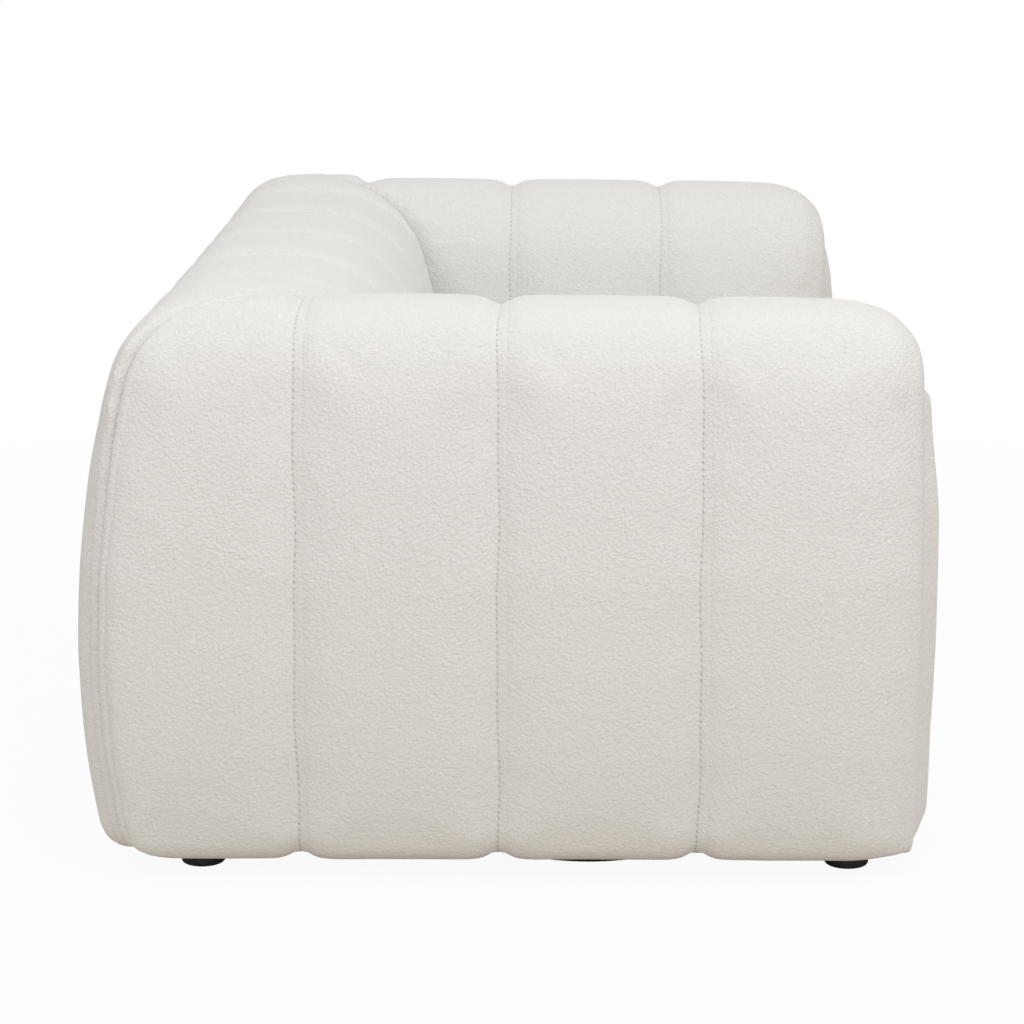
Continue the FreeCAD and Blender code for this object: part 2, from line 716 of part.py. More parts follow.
FOOT_ROWS = (
    ("rear", f"({REAR} - Sizes.foot_rear)"),
    ("front", f"({FRONT} + Sizes.foot_front)"),
)
FOOT_X = f"({HALF_X} - Sizes.foot_side)"
ARM_MIDDLE = f"({ARM_FRONT} + {BACK_REAR}) / 2"
BOLT_ROWS = (
    f"({RAIL_FRONT} + {RAIL} + Sizes.block_leg + Sizes.bolt_clearance)",
    f"({BACK_FRONT} - {RAIL} - Sizes.block_leg - Sizes.bolt_clearance)",
)
SIDE_RAIL_IN = f"({FRAME_IN} - {RAIL})"

for side, sign in SIDES:
    arm = f"{side}_arm"
    ribs = (
        ("front", f"{ARM_FRONT} + {PLY}", False),
        ("middle", f"{ARM_MIDDLE} + {PLY} / 2", True),
        ("rear", BACK_REAR, True),
    )
    for name, rear_face, slotted in ribs:
        drawn = [rib_outline(FRAME_IN, INNER, FRAME_OUT, SKIN, sign)]
        if slotted:
            drawn.append(slot_outline(FRAME_IN, FRAME_OUT, sign))
        rib = board(f"{arm}_{name}_rib", "XZ_Plane", drawn, PLY, ("y", rear_face))
        keep(rib, f"{arm}_{name}_rib")

    near, far = on_side(sign, f"{FRAME_IN} + {INNER}", f"{FRAME_OUT} - {SKIN}")
    blank = bar(f"{arm}_bottom_blank", (near, ARM_FRONT, LOW), (far, BACK_REAR, RIB_LOW))
    tools = []
    for end, y in FOOT_ROWS:
        place = (mirrored(sign, FOOT_X), y, LOW)
        tools.append(rod(f"{arm}_{end}_stud_hole", STUD_ROOM, PLY, place, UPRIGHT))
    bored(f"{arm}_bottom_board", blank, tools)

    near, far = on_side(sign, f"{FRAME_IN} + {BEVEL}", f"{FRAME_OUT} - {BEVEL}")
    keep(
        bar(f"{arm}_top_board", (near, ARM_FRONT, RIB_TOP), (far, BACK_REAR, FRAME_TOP)),
        f"{arm}_top_board",
    )
    near, far = on_side(sign, f"{FRAME_OUT} - {SKIN}", FRAME_OUT)
    keep(
        bar(f"{arm}_outer_panel", (near, ARM_FRONT, LOW), (far, BACK_REAR, PANEL_TOP)),
        f"{arm}_outer_panel",
    )
    near, far = on_side(sign, FRAME_IN, f"{FRAME_IN} + {INNER}")
    panel = bar(f"{arm}_inner_blank", (near, ARM_FRONT, LOW), (far, BACK_REAR, PANEL_TOP))
    rail_near, rail_far = on_side(sign, SIDE_RAIL_IN, FRAME_IN)
    ends = (f"{RAIL_FRONT} + {RAIL}", f"{BACK_FRONT} - {RAIL}")
    rail = bar(f"{side}_rail_blank", (rail_near, ends[0], LOW), (rail_far, ends[1], DECK))
    panel_holes = []
    rail_holes = []
    for number, y in enumerate(BOLT_ROWS, 1):
        place = (near, y, "Sizes.bolt_height")
        hole = f"{arm}_panel_hole_{number}"
        panel_holes.append(rod(hole, SHANK_ROOM, INNER, place, ALONG_X))
        place = (rail_near, y, "Sizes.bolt_height")
        rail_holes.append(rod(f"{side}_rail_hole_{number}", SHANK_ROOM, RAIL, place, ALONG_X))
    bored(f"{arm}_inner_panel", panel, panel_holes)
    bored(f"seat_{side}_side_rail", rail, rail_holes)

for name, x in (("right", f"-{FRAME_IN}"), ("middle", f"-{PLY} / 2"), ("left", f"{FRAME_IN} - {PLY}")):
    drawn = [rib_outline(BACK_FRONT, SKIN, BACK_REAR, SKIN), slot_outline(BACK_FRONT, BACK_REAR)]
    keep(board(f"back_{name}_rib", "YZ_Plane", drawn, PLY, ("x", x)), f"back_{name}_rib")

LEFT_END, RIGHT_END = FRAME_IN, f"-{FRAME_IN}"
BACK_BOX_FRONT = f"({BACK_FRONT} + {SKIN})"
BACK_BOX_REAR = f"({BACK_REAR} - {SKIN})"
for label, low, high in (
    ("back_front_panel", (BACK_FRONT, LOW), (BACK_BOX_FRONT, PANEL_TOP)),
    ("back_bottom_board", (BACK_BOX_FRONT, LOW), (BACK_BOX_REAR, RIB_LOW)),
    ("back_top_board", (f"{BACK_FRONT} + {BEVEL}", RIB_TOP), (f"{BACK_REAR} - {BEVEL}", FRAME_TOP)),
    ("back_rear_panel", (BACK_BOX_REAR, LOW), (BACK_REAR, PANEL_TOP)),
    ("seat_front_rail", (RAIL_FRONT, LOW), (f"{RAIL_FRONT} + {RAIL}", DECK)),
    ("seat_rear_rail", (f"{BACK_FRONT} - {RAIL}", LOW), (BACK_FRONT, DECK)),
):
    keep(bar(label, (RIGHT_END, *low), (LEFT_END, *high)), label)

keep(
    bar(
        "seat_centre_rail",
        (f"-{RAIL} / 2", f"{RAIL_FRONT} + {RAIL}", LOW),
        (f"{RAIL} / 2", f"{BACK_FRONT} - {RAIL}", f"{DECK} - Sizes.centre_rail_drop"),
    ),
    "seat_centre_rail",
)

# Corner blocks glued into the four corners of the seat frame.
blocks = []
for side, sign in SIDES:
    for end, y, inward in (
        ("front", f"({RAIL_FRONT} + {RAIL})", "+"),
        ("rear", f"({BACK_FRONT} - {RAIL})", "-"),
    ):
        corners = [
            (mirrored(sign, SIDE_RAIL_IN), y),
            (mirrored(sign, f"{SIDE_RAIL_IN} - Sizes.block_leg"), y),
            (mirrored(sign, SIDE_RAIL_IN), f"{y} {inward} Sizes.block_leg"),
        ]
        name = f"{side}_{end}_block"
        low = f"{DECK} - Sizes.block_drop - Sizes.block_height"
        blocks.append(board(name, "XY_Plane", [corners], "Sizes.block_height", ("z", low)))
keep(together("seat_corner_blocks", blocks), "seat_corner_blocks")

# Suspension and foam of the seat.
STRAP = "Sizes.strap_width"
STRAP_TOP = f"({DECK} + Sizes.strap_thickness)"
CROSS_LOW = f"({STRAP_TOP} + Sizes.fit_gap)"
CROSS_TOP = f"({CROSS_LOW} + Sizes.strap_thickness)"
long_count = round(size("long_straps"))
cross_count = round(size("cross_straps"))
straps = []
for n in range(long_count):
    middle = f"{FRAME_IN} * {2 * n + 1 - long_count} / Sizes.long_straps"
    low = (f"{middle} - {STRAP} / 2", RAIL_FRONT, DECK)
    straps.append(bar(f"long_strap_{n + 1}", low, (f"{middle} + {STRAP} / 2", BACK_FRONT, STRAP_TOP)))
keep(together("webbing_front_to_back", straps), "webbing_front_to_back")
straps = []
for n in range(cross_count):
    share = f"{2 * n + 1} / (2 * Sizes.cross_straps)"
    middle = f"({RAIL_FRONT} + ({BACK_FRONT} - ({RAIL_FRONT})) * {share})"
    low = (RIGHT_END, f"{middle} - {STRAP} / 2", CROSS_LOW)
    straps.append(bar(f"cross_strap_{n + 1}", low, (LEFT_END, f"{middle} + {STRAP} / 2", CROSS_TOP)))
keep(together("webbing_side_to_side", straps), "webbing_side_to_side")

FOAM_X = f"({HALF_X} - Sizes.arm_width - Sizes.fit_gap)"
foam_low = (f"-{FOAM_X}", RAIL_FRONT, f"{CROSS_TOP} + Sizes.fit_gap")
foam_high = (
    FOAM_X,
    f"{REAR} - Sizes.back_depth - Sizes.fit_gap",
    "Sizes.seat_height - Sizes.seat_thickness - Sizes.fit_gap",
)
keep(bar("seat_foam", foam_low, foam_high), "seat_foam")

# Glides, each held under an arm's bottom board by a stud that stands in its socket.
SOCKET_FLOOR = f"({LOW} - Sizes.stud_socket)"
glide = [
    ("0", "0"),
    ("Sizes.foot_diameter / 2 - Sizes.foot_edge", "0"),
    ("Sizes.foot_diameter / 2", "Sizes.foot_edge"),
    ("Sizes.foot_diameter / 2", LOW),
    (STUD_ROOM, LOW),
    (STUD_ROOM, SOCKET_FLOOR),
    ("0", SOCKET_FLOOR),
]
glides = []
studs = []
for side, sign in SIDES:
    for end, y in FOOT_ROWS:
        place = (mirrored(sign, FOOT_X), y)
        glides.append(turned(f"{end}_{side}_glide", glide, place))
        reach = "Sizes.stud_socket + Sizes.stud_reach"
        name = f"{end}_{side}_stud"
        studs.append(rod(name, "Sizes.stud / 2", reach, (*place, SOCKET_FLOOR), UPRIGHT))
keep(together("glides", glides), "glides")
keep(together("glide_studs", studs), "glide_studs")


# Bolts that join the seat frame to the arms, each with its nut.
def hexagon(name, depth, place, rotation):
    """Six-sided head or nut along a turned axis."""
    prism = doc.addObject("Part::Prism", name)
    prism.Polygon = 6
    prism.setExpression("Circumradius", "Sizes.bolt_head / 2")
    prism.setExpression("Height", depth)
    return put(prism, place, rotation)


def bolt(name, sign, seat, rotation):
    """Bolt out of the seat frame: a head on its seat and a shank that ends with the nut."""
    head_place = along_x(sign, seat, "-Sizes.bolt_head_depth")
    head = hexagon(name + "_head", "Sizes.bolt_head_depth", head_place, rotation)
    length = f"{GRIP} + Sizes.nut_depth"
    shank = rod(name + "_shank", "Sizes.bolt_shank / 2", length, seat, rotation)
    whole = doc.addObject("Part::Fuse", name)
    whole.Base = head
    whole.Tool = shank
    return whole


def nut(name, sign, seat, rotation):
    """Nut on a bolt's shank, against the far face of the arm's inner panel."""
    place = along_x(sign, seat, GRIP)
    body = hexagon(name + "_body", "Sizes.nut_depth", place, rotation)
    thread = rod(name + "_thread", SHANK_ROOM, "Sizes.nut_depth", place, rotation)
    whole = doc.addObject("Part::Cut", name)
    whole.Base = body
    whole.Tool = thread
    return whole


GRIP = f"({RAIL} + {INNER})"
bolts = []
nuts = []
for side, sign in SIDES:
    turn = Rotation(Vector(0, 1, 0), 90 * sign)
    for number, y in enumerate(BOLT_ROWS, 1):
        seat = (mirrored(sign, SIDE_RAIL_IN), y, "Sizes.bolt_height")
        bolts.append(bolt(f"{side}_bolt_{number}", sign, seat, turn))
        nuts.append(nut(f"{side}_nut_{number}", sign, seat, turn))
keep(together("frame_bolts", bolts), "frame_bolts")
keep(together("frame_bolt_nuts", nuts), "frame_bolt_nuts")

# Bottom cloth under the whole frame, cut square round the glides.
CLOTH_X = f"({FRAME_OUT} - Sizes.cloth_inset)"
CLOTH_NOTCH = f"({FRAME_IN} + Sizes.cloth_inset)"
CLOTH_FRONT = f"({ARM_FRONT} + Sizes.cloth_inset)"
CLOTH_MIDDLE = f"({RAIL_FRONT} + Sizes.cloth_inset)"
CLOTH_REAR = f"({BACK_REAR} - Sizes.cloth_inset)"
cloth_outline = [
    (f"-{CLOTH_X}", CLOTH_REAR),
    (CLOTH_X, CLOTH_REAR),
    (CLOTH_X, CLOTH_FRONT),
    (CLOTH_NOTCH, CLOTH_FRONT),
    (CLOTH_NOTCH, CLOTH_MIDDLE),
    (f"-{CLOTH_NOTCH}", CLOTH_MIDDLE),
    (f"-{CLOTH_NOTCH}", CLOTH_FRONT),
    (f"-{CLOTH_X}", CLOTH_FRONT),
]
OPENING = "(Sizes.foot_diameter / 2 + Sizes.fit_gap)"
CLOTH_LOW = f"({LOW} - Sizes.fit_gap - Sizes.cloth)"
cloth = board("bottom_cloth_blank", "XY_Plane", [cloth_outline], "Sizes.cloth", ("z", CLOTH_LOW))
tools = []
for side, sign in SIDES:
    for end, y in FOOT_ROWS:
        near, far = on_side(sign, f"{FOOT_X} - {OPENING}", f"{FOOT_X} + {OPENING}")
        low = (near, f"{y} - {OPENING}", "0")
        tools.append(bar(f"{end}_{side}_opening", low, (far, f"{y} + {OPENING}", LOW)))
bored("bottom_cloth", cloth, tools)

doc.recompute()
for thing in doc.Objects:
    if "Invalid" in thing.State or "Error" in thing.State:
        raise RuntimeError(f"{thing.Name}: {thing.State}")
for node in nodes:
    if node.Shape.isNull() or not node.Shape.isValid() or not node.Shape.Solids:
        raise RuntimeError(f"{node.Label} has no valid solid")

os.makedirs("parts", exist_ok=True)
for node in nodes:
    node.Shape.exportStep(f"parts/{node.Label}.step")
print(len(nodes), "pieces written")
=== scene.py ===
"""Dresses the channelled sofa: padded channels, sewn seams, glides and bottom cloth."""

import json
import logging
import math
from dataclasses import dataclass, field
from enum import Enum
from typing import Any, Iterable, Optional, Sequence, Union

import bpy
import numpy as np
from mathutils import Euler, Matrix, Vector

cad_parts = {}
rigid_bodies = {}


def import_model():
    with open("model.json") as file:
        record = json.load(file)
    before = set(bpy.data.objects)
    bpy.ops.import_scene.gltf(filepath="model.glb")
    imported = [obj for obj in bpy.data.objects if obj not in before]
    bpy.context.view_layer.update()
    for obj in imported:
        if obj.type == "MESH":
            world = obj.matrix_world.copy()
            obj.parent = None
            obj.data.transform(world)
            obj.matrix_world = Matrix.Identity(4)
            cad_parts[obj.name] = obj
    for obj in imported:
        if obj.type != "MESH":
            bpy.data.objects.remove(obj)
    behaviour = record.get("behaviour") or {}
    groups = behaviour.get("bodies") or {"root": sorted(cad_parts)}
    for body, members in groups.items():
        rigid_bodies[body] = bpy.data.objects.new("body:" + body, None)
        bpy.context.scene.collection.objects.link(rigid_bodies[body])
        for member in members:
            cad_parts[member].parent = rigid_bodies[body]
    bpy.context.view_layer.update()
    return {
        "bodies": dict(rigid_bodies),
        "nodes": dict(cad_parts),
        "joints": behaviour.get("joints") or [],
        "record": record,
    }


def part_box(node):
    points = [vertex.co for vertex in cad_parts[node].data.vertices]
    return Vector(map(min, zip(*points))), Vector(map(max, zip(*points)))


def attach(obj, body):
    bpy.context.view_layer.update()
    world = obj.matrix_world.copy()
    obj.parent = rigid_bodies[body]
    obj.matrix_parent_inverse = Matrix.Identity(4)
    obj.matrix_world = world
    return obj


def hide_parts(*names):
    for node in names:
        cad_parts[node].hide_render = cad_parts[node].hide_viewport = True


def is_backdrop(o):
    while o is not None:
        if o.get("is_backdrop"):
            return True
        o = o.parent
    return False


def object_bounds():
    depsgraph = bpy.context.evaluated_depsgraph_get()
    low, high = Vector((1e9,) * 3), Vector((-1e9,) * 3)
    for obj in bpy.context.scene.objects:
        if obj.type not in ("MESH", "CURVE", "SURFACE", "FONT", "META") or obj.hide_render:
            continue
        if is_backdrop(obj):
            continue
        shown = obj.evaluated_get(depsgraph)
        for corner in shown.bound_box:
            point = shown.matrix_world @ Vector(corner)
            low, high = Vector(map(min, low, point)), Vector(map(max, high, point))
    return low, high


log = logging.getLogger("sofa")

MM = 0.001
ROOT = "root"
# Mesh layer holding the painted shade of the seams' grooves and needle holes.
SEAM_SHADE_LAYER = "stitch"
UP = Vector((0.0, 0.0, 1.0))
VOXEL = 11 * MM
FINE_VOXEL = 7 * MM
MERGE = 0.01 * MM
TINY = 1e-9
SMOOTH_ANGLE = math.radians(40)
CORNER_PADS = ("right_arm_channel_1", "left_arm_channel_1", "back_channel_1", "back_channel_6")


# Shader expressions
class Socket:
    """A shader socket that can be written in expressions, or fed to another node."""

    def __init__(self, maker: "NodeMaker", socket: bpy.types.NodeSocket) -> None:
        """Wraps a socket of the maker's tree."""
        self.maker = maker
        self.socket = socket

    def _math(self, operation: str, *values: "Feed") -> "Socket":
        """Adds a Math node.

        Args:
            operation: the node's operation.
            values: its inputs in order.

        Returns:
            The node's value.
        """
        return self.maker.node("ShaderNodeMath", {"operation": operation}, dict(enumerate(values)))

    def __add__(self, other: "Feed") -> "Socket":
        """Sum."""
        return self._math("ADD", self, other)

    __radd__ = __add__

    def __rsub__(self, other: "Feed") -> "Socket":
        """Difference with this socket on the right."""
        return self._math("SUBTRACT", other, self)

    def __mul__(self, other: "Feed") -> "Socket":
        """Product."""
        return self._math("MULTIPLY", self, other)

    __rmul__ = __mul__

    def wave(self) -> "Socket":
        """Sine."""
        return self._math("SINE", self)

    def between(self, low: float, high: float) -> "Socket":
        """Smooth step of this value from 0 at low to 1 at high."""
        settings = {"interpolation_type": "SMOOTHSTEP"}
        feeds = {"Value": self, "From Min": low, "From Max": high}
        return self.maker.node("ShaderNodeMapRange", settings, feeds, "Result")


Feed = Union[Socket, float, Sequence[float]]


class NodeMaker:
    """Adds nodes to one material's tree."""

    def __init__(self, material: bpy.types.Material) -> None:
        """Empties the material's tree and makes its shader and output."""
        material.use_nodes = True
        self.tree = material.node_tree
        self.tree.nodes.clear()
        self.output = self.tree.nodes.new("ShaderNodeOutputMaterial")

    def node(
        self,
        kind: str,
        settings: Optional[dict[str, Any]] = None,
        feeds: Optional[dict[Union[int, str], Feed]] = None,
        result: Union[int, str] = 0,
    ) -> Socket:
        """Adds a node.

        Args:
            kind: the node's type.
            settings: its properties.
            feeds: its input sockets' values or links.
            result: the output that is returned.

        Returns:
            The chosen output.
        """
        made = self.tree.nodes.new(kind)
        for name, value in (settings or {}).items():
            setattr(made, name, value)
        for name, value in (feeds or {}).items():
            if isinstance(value, Socket):
                self.tree.links.new(value.socket, made.inputs[name])
            else:
                made.inputs[name].default_value = value
        return Socket(self, made.outputs[result])

    def place(self) -> Socket:
        """Object coordinates, in metres in the sofa's own frame."""
        return self.node("ShaderNodeTexCoord", result="Object")

    def stretched(self, scale: Sequence[float]) -> Socket:
        """Object coordinates scaled along each axis."""
        return self.node("ShaderNodeMapping", feeds={"Vector": self.place(), "Scale": scale})

    def noise(self, at: Socket, scale: float, detail: float = 2.0) -> Socket:
        """Noise from 0 to 1 at a place."""
        feeds = {"Vector": at, "Scale": scale, "Detail": detail}
        return self.node("ShaderNodeTexNoise", feeds=feeds)

    def blend(self, share: Feed, low: Feed, high: Feed) -> Socket:
        """Mix of two colours by a share."""
        made = self.tree.nodes.new("ShaderNodeMix")
        made.data_type = "RGBA"
        for name, value in (("Factor_Float", share), ("A_Color", low), ("B_Color", high)):
            socket = next(s for s in made.inputs if s.identifier == name)
            if isinstance(value, Socket):
                self.tree.links.new(value.socket, socket)
            else:
                socket.default_value = value if isinstance(value, float) else (*value, 1.0)
        out = next(s for s in made.outputs if s.identifier == "Result_Color")
        return Socket(self, out)

    def bump(self, height: Socket, strength: float, distance: float) -> Socket:
        """Normal bent by a height."""
        feeds = {"Height": height, "Strength": strength, "Distance": distance}
        return self.node("ShaderNodeBump", feeds=feeds, result="Normal")

    def surface(self, feeds: dict[str, Feed]) -> None:
        """Principled shader with the given inputs, wired to the output."""
        shader = self.node("ShaderNodeBsdfPrincipled", feeds=feeds)
        self.tree.links.new(shader.socket, self.output.inputs["Surface"])


# Finishes
@dataclass(frozen=True)
class LoopedCloth:
    """Cream cloth whose yarn stands in small curly loops."""

    crown: tuple[float, float, float] = (0.85, 0.845, 0.832)
    # Colour of the loops' hollows, darker than the crowns as painted shade.
    shaded_hollow: tuple[float, float, float] = (0.735, 0.718, 0.688)
    warm: tuple[float, float, float] = (0.81, 0.795, 0.765)
    # Dark brown painted along the seams as the shade in their grooves and needle holes.
    stitch_hole_shade: tuple[float, float, float] = (0.30, 0.27, 0.23)
    loop: float = 215.0
    stretch: tuple[float, float, float] = (1.0, 0.92, 1.05)
    drift_pitch: float = 0.9
    cell_pitch: float = 1.2
    curl_pitch: float = 2.4
    clump_pitch: float = 0.55
    swirl: float = 0.0035
    cell_height: float = 0.8
    curl_height: float = 0.75
    clump_height: float = 0.2
    pit_from: float = 1.45
    pit_shade_share: float = 0.5
    patch_scale: float = 3.2
    patch_share: float = 0.25
    relief: float = 1.8 * MM

    def material(self) -> bpy.types.Material:
        """Builds the cloth's material, darkened by painted seam shade where the mesh's own layer
        says so.
        """
        made = bpy.data.materials.new("looped_cloth")
        m = NodeMaker(made)
        across = m.stretched(self.stretch)
        drift = m.noise(across, self.loop * self.drift_pitch)
        turn = m.node("ShaderNodeCombineXYZ", feeds={0: drift, 1: 1.0 - drift, 2: drift})
        settings = {"operation": "MULTIPLY_ADD"}
        feeds = {0: turn, 1: (self.swirl,) * 3, 2: across}
        swirl = m.node("ShaderNodeVectorMath", settings, feeds)
        loops = m.node(
            "ShaderNodeTexVoronoi",
            {"feature": "SMOOTH_F1"},
            {"Vector": swirl, "Scale": self.loop * self.cell_pitch, "Smoothness": 0.35},
            "Distance",
        )
        curl = m.noise(swirl, self.loop * self.curl_pitch)
        clumps = m.noise(across, self.loop * self.clump_pitch)
        height = (1.0 - loops) * self.cell_height + curl * self.curl_height
        height = height + clumps * self.clump_height
        # Painted shade: the cloth is coloured darker where the loops' height is low, in their
        # hollows.
        pit_shade = (self.pit_from - height).between(0.0, 0.6) * self.pit_shade_share
        tone = m.blend(pit_shade, self.crown, self.shaded_hollow)
        patch = m.noise(m.place(), self.patch_scale).between(0.42, 0.70) * self.patch_share
        # Painted shade: the seam strips' layer turns the cloth towards the dark seam colour.
        sewn = m.node("ShaderNodeAttribute", {"attribute_name": SEAM_SHADE_LAYER}, result="Fac")
        m.surface({
            "Base Color": m.blend(sewn, m.blend(patch, tone, self.warm), self.stitch_hole_shade),
            "Roughness": 0.95,
            "Specular IOR Level": 0.12,
            "Sheen Weight": 0.15,
            "Sheen Roughness": 0.55,
            "Normal": m.bump(height, 0.75, self.relief),
        })
        return made


@dataclass(frozen=True)
class Grained:
    """Unfinished wood, plain or in veneers, with its grain along one axis."""

    name: str
    light: tuple[float, float, float]
    dark: tuple[float, float, float]
    along: tuple[float, float, float]
    rings: float = 26.0
    pore_pitch: float = 9.0
    pore_share: float = 0.2

    def material(self) -> bpy.types.Material:
        """Builds the wood's material."""
        made = bpy.data.materials.new(self.name)
        m = NodeMaker(made)
        at = m.stretched(self.along)
        grain = m.noise(at, self.rings, 4.0)
        pores = m.noise(at, self.rings * self.pore_pitch)
        figure = grain * (1.0 - self.pore_share) + pores * self.pore_share
        tone = m.blend(figure.between(0.3, 0.7), self.dark, self.light)
        m.surface({
            "Base Color": tone,
            "Roughness": pores * self.pore_share + 0.6,
            "Normal": m.bump(pores, 0.3, 0.4 * MM),
        })
        return made


@dataclass(frozen=True)
class Woven:
    """Plain woven or felted cloth of crossed threads."""

    name: str
    light: tuple[float, float, float]
    dark: tuple[float, float, float]
    threads: float
    fuzz_pitch: float = 0.4
    fuzz_share: float = 0.4
    roughness: float = 0.85

    def material(self) -> bpy.types.Material:
        """Builds the woven material."""
        made = bpy.data.materials.new(self.name)
        m = NodeMaker(made)
        warp, weft = (
            m.node("ShaderNodeSeparateXYZ", feeds={0: m.place()}, result=axis) for axis in (0, 1)
        )
        weave = (warp * self.threads).wave() * (weft * self.threads).wave() * 0.5 + 0.5
        fuzz = m.noise(m.place(), self.threads * self.fuzz_pitch)
        height = weave * (1.0 - self.fuzz_share) + fuzz * self.fuzz_share
        m.surface({
            "Base Color": m.blend(height.between(0.25, 0.75), self.dark, self.light),
            "Roughness": self.roughness,
            "Specular IOR Level": 0.2,
            "Normal": m.bump(height, 0.5, 0.3 * MM),
        })
        return made


@dataclass(frozen=True)
class Speckled:
    """Plastic, foam or plated metal with a fine grain."""

    name: str
    base: tuple[float, float, float]
    shade: tuple[float, float, float]
    grain: float
    roughness: float
    relief: float
    metallic: float = 0.0
    broad_pitch: float = 0.06
    broad_share: float = 0.4
    uneven: float = 0.08

    def material(self) -> bpy.types.Material:
        """Builds the material."""
        made = bpy.data.materials.new(self.name)
        m = NodeMaker(made)
        fine = m.noise(m.place(), self.grain, 3.0)
        broad = m.noise(m.place(), self.grain * self.broad_pitch)
        mottle = fine * (1.0 - self.broad_share) + broad * self.broad_share
        m.surface({
            "Base Color": m.blend(mottle.between(0.35, 0.7), self.base, self.shade),
            "Roughness": broad * (2 * self.uneven) + (self.roughness - self.uneven),
            "Metallic": self.metallic,
            "Normal": m.bump(fine, 0.4, self.relief),
        })
        return made


class Finish(Enum):
    """The sofa's finishes, by the record's material slots."""

    CLOTH = "boucle_cover"
    BOTTOM = "bottom_cloth"
    WEBBING = "elastic_webbing"
    FOAM = "seat_foam"
    HARDBOARD = "hardboard"
    PLYWOOD = "plywood"
    TIMBER = "solid_timber"
    GLIDE = "glide_plastic"
    STEEL = "zinc_steel"


RECIPES = {
    Finish.CLOTH: LoopedCloth(),
    Finish.BOTTOM: Woven("bottom_cloth", (0.035, 0.034, 0.033), (0.012, 0.012, 0.012), 1400.0),
    Finish.WEBBING: Woven("elastic_webbing", (0.60, 0.52, 0.38), (0.30, 0.24, 0.16), 1100.0),
    Finish.FOAM: Speckled(
        "seat_foam", (0.86, 0.81, 0.60), (0.72, 0.66, 0.45), 700.0, 0.92, 0.5 * MM
    ),
    Finish.HARDBOARD: Grained(
        "hardboard", (0.44, 0.29, 0.17), (0.30, 0.19, 0.10), (1.0, 1.0, 1.0), 60.0
    ),
    Finish.PLYWOOD: Grained("plywood", (0.78, 0.63, 0.43), (0.60, 0.44, 0.27), (6.0, 6.0, 0.7)),
    Finish.TIMBER: Grained(
        "solid_timber", (0.76, 0.60, 0.38), (0.57, 0.39, 0.21), (0.8, 5.0, 5.0)
    ),
    Finish.GLIDE: Speckled(
        "glide_plastic", (0.016, 0.016, 0.017), (0.03, 0.03, 0.03), 900.0, 0.42, 0.1 * MM
    ),
    Finish.STEEL: Speckled(
        "zinc_steel", (0.60, 0.60, 0.58), (0.48, 0.48, 0.47), 500.0, 0.36, 0.05 * MM, 1.0
    ),
}


class Wardrobe:
    """Holds each finish's material and puts it on pieces."""

    def __init__(self) -> None:
        """Builds every material once."""
        self.made = {finish: recipe.material() for finish, recipe in RECIPES.items()}

    def dress(self, piece: bpy.types.Object, finish: Finish) -> None:
        """Puts a finish on a new piece."""
        piece.data.materials.clear()
        piece.data.materials.append(self.made[finish])

    def dress_node(self, node: bpy.types.Object, finish: Finish) -> None:
        """Puts a finish on a CAD node that stays."""
        node.data.materials.clear()
        node.data.materials.append(self.made[finish])


# Mesh helpers
def only(piece: bpy.types.Object) -> None:
    """Selects one object alone and makes it active."""
    bpy.ops.object.select_all(action="DESELECT")
    piece.select_set(True)
    bpy.context.view_layer.objects.active = piece


def apply_modifiers(piece: bpy.types.Object) -> None:
    """Applies all of a piece's modifiers in order."""
    only(piece)
    for modifier in list(piece.modifiers):
        bpy.ops.object.modifier_apply(modifier=modifier.name)


def coordinates(piece: bpy.types.Object) -> np.ndarray:
    """Vertex places as rows of x, y, z."""
    flat = np.empty(len(piece.data.vertices) * 3, np.float32)
    piece.data.vertices.foreach_get("co", flat)
    return flat.reshape(-1, 3).astype(np.float64)


def set_coordinates(piece: bpy.types.Object, places: np.ndarray) -> None:
    """Writes vertex places back to a piece."""
    piece.data.vertices.foreach_set("co", places.astype(np.float32).ravel())
    piece.data.update()


def linked(name: str, mesh: bpy.types.Mesh) -> bpy.types.Object:
    """New object for a mesh, in the scene."""
    made = bpy.data.objects.new(name, mesh)
    bpy.context.scene.collection.objects.link(made)
    return made


def rising(values: np.ndarray, low: float, high: float) -> np.ndarray:
    """Smooth step of each value, from 0 at low to 1 at high."""
    share = np.clip((values - low) / (high - low), 0, 1)
    return share * share * (3 - 2 * share)


class Form(Enum):
    """How full a kind of pad is, and how far its cloth may swell in millimetres."""

    ARM = (0.85, 5.0)
    BACK = (0.85, 6.0)
    FACING = (0.75, 2.5)
    SEAT = (0.8, 9.0)

    @property
    def fill(self) -> float:
        """Fill from 0, slack, to 1, tight."""
        return self.value[0]

    @property
    def swell(self) -> float:
        """Greatest move of the cloth, in metres."""
        return self.value[1] * MM


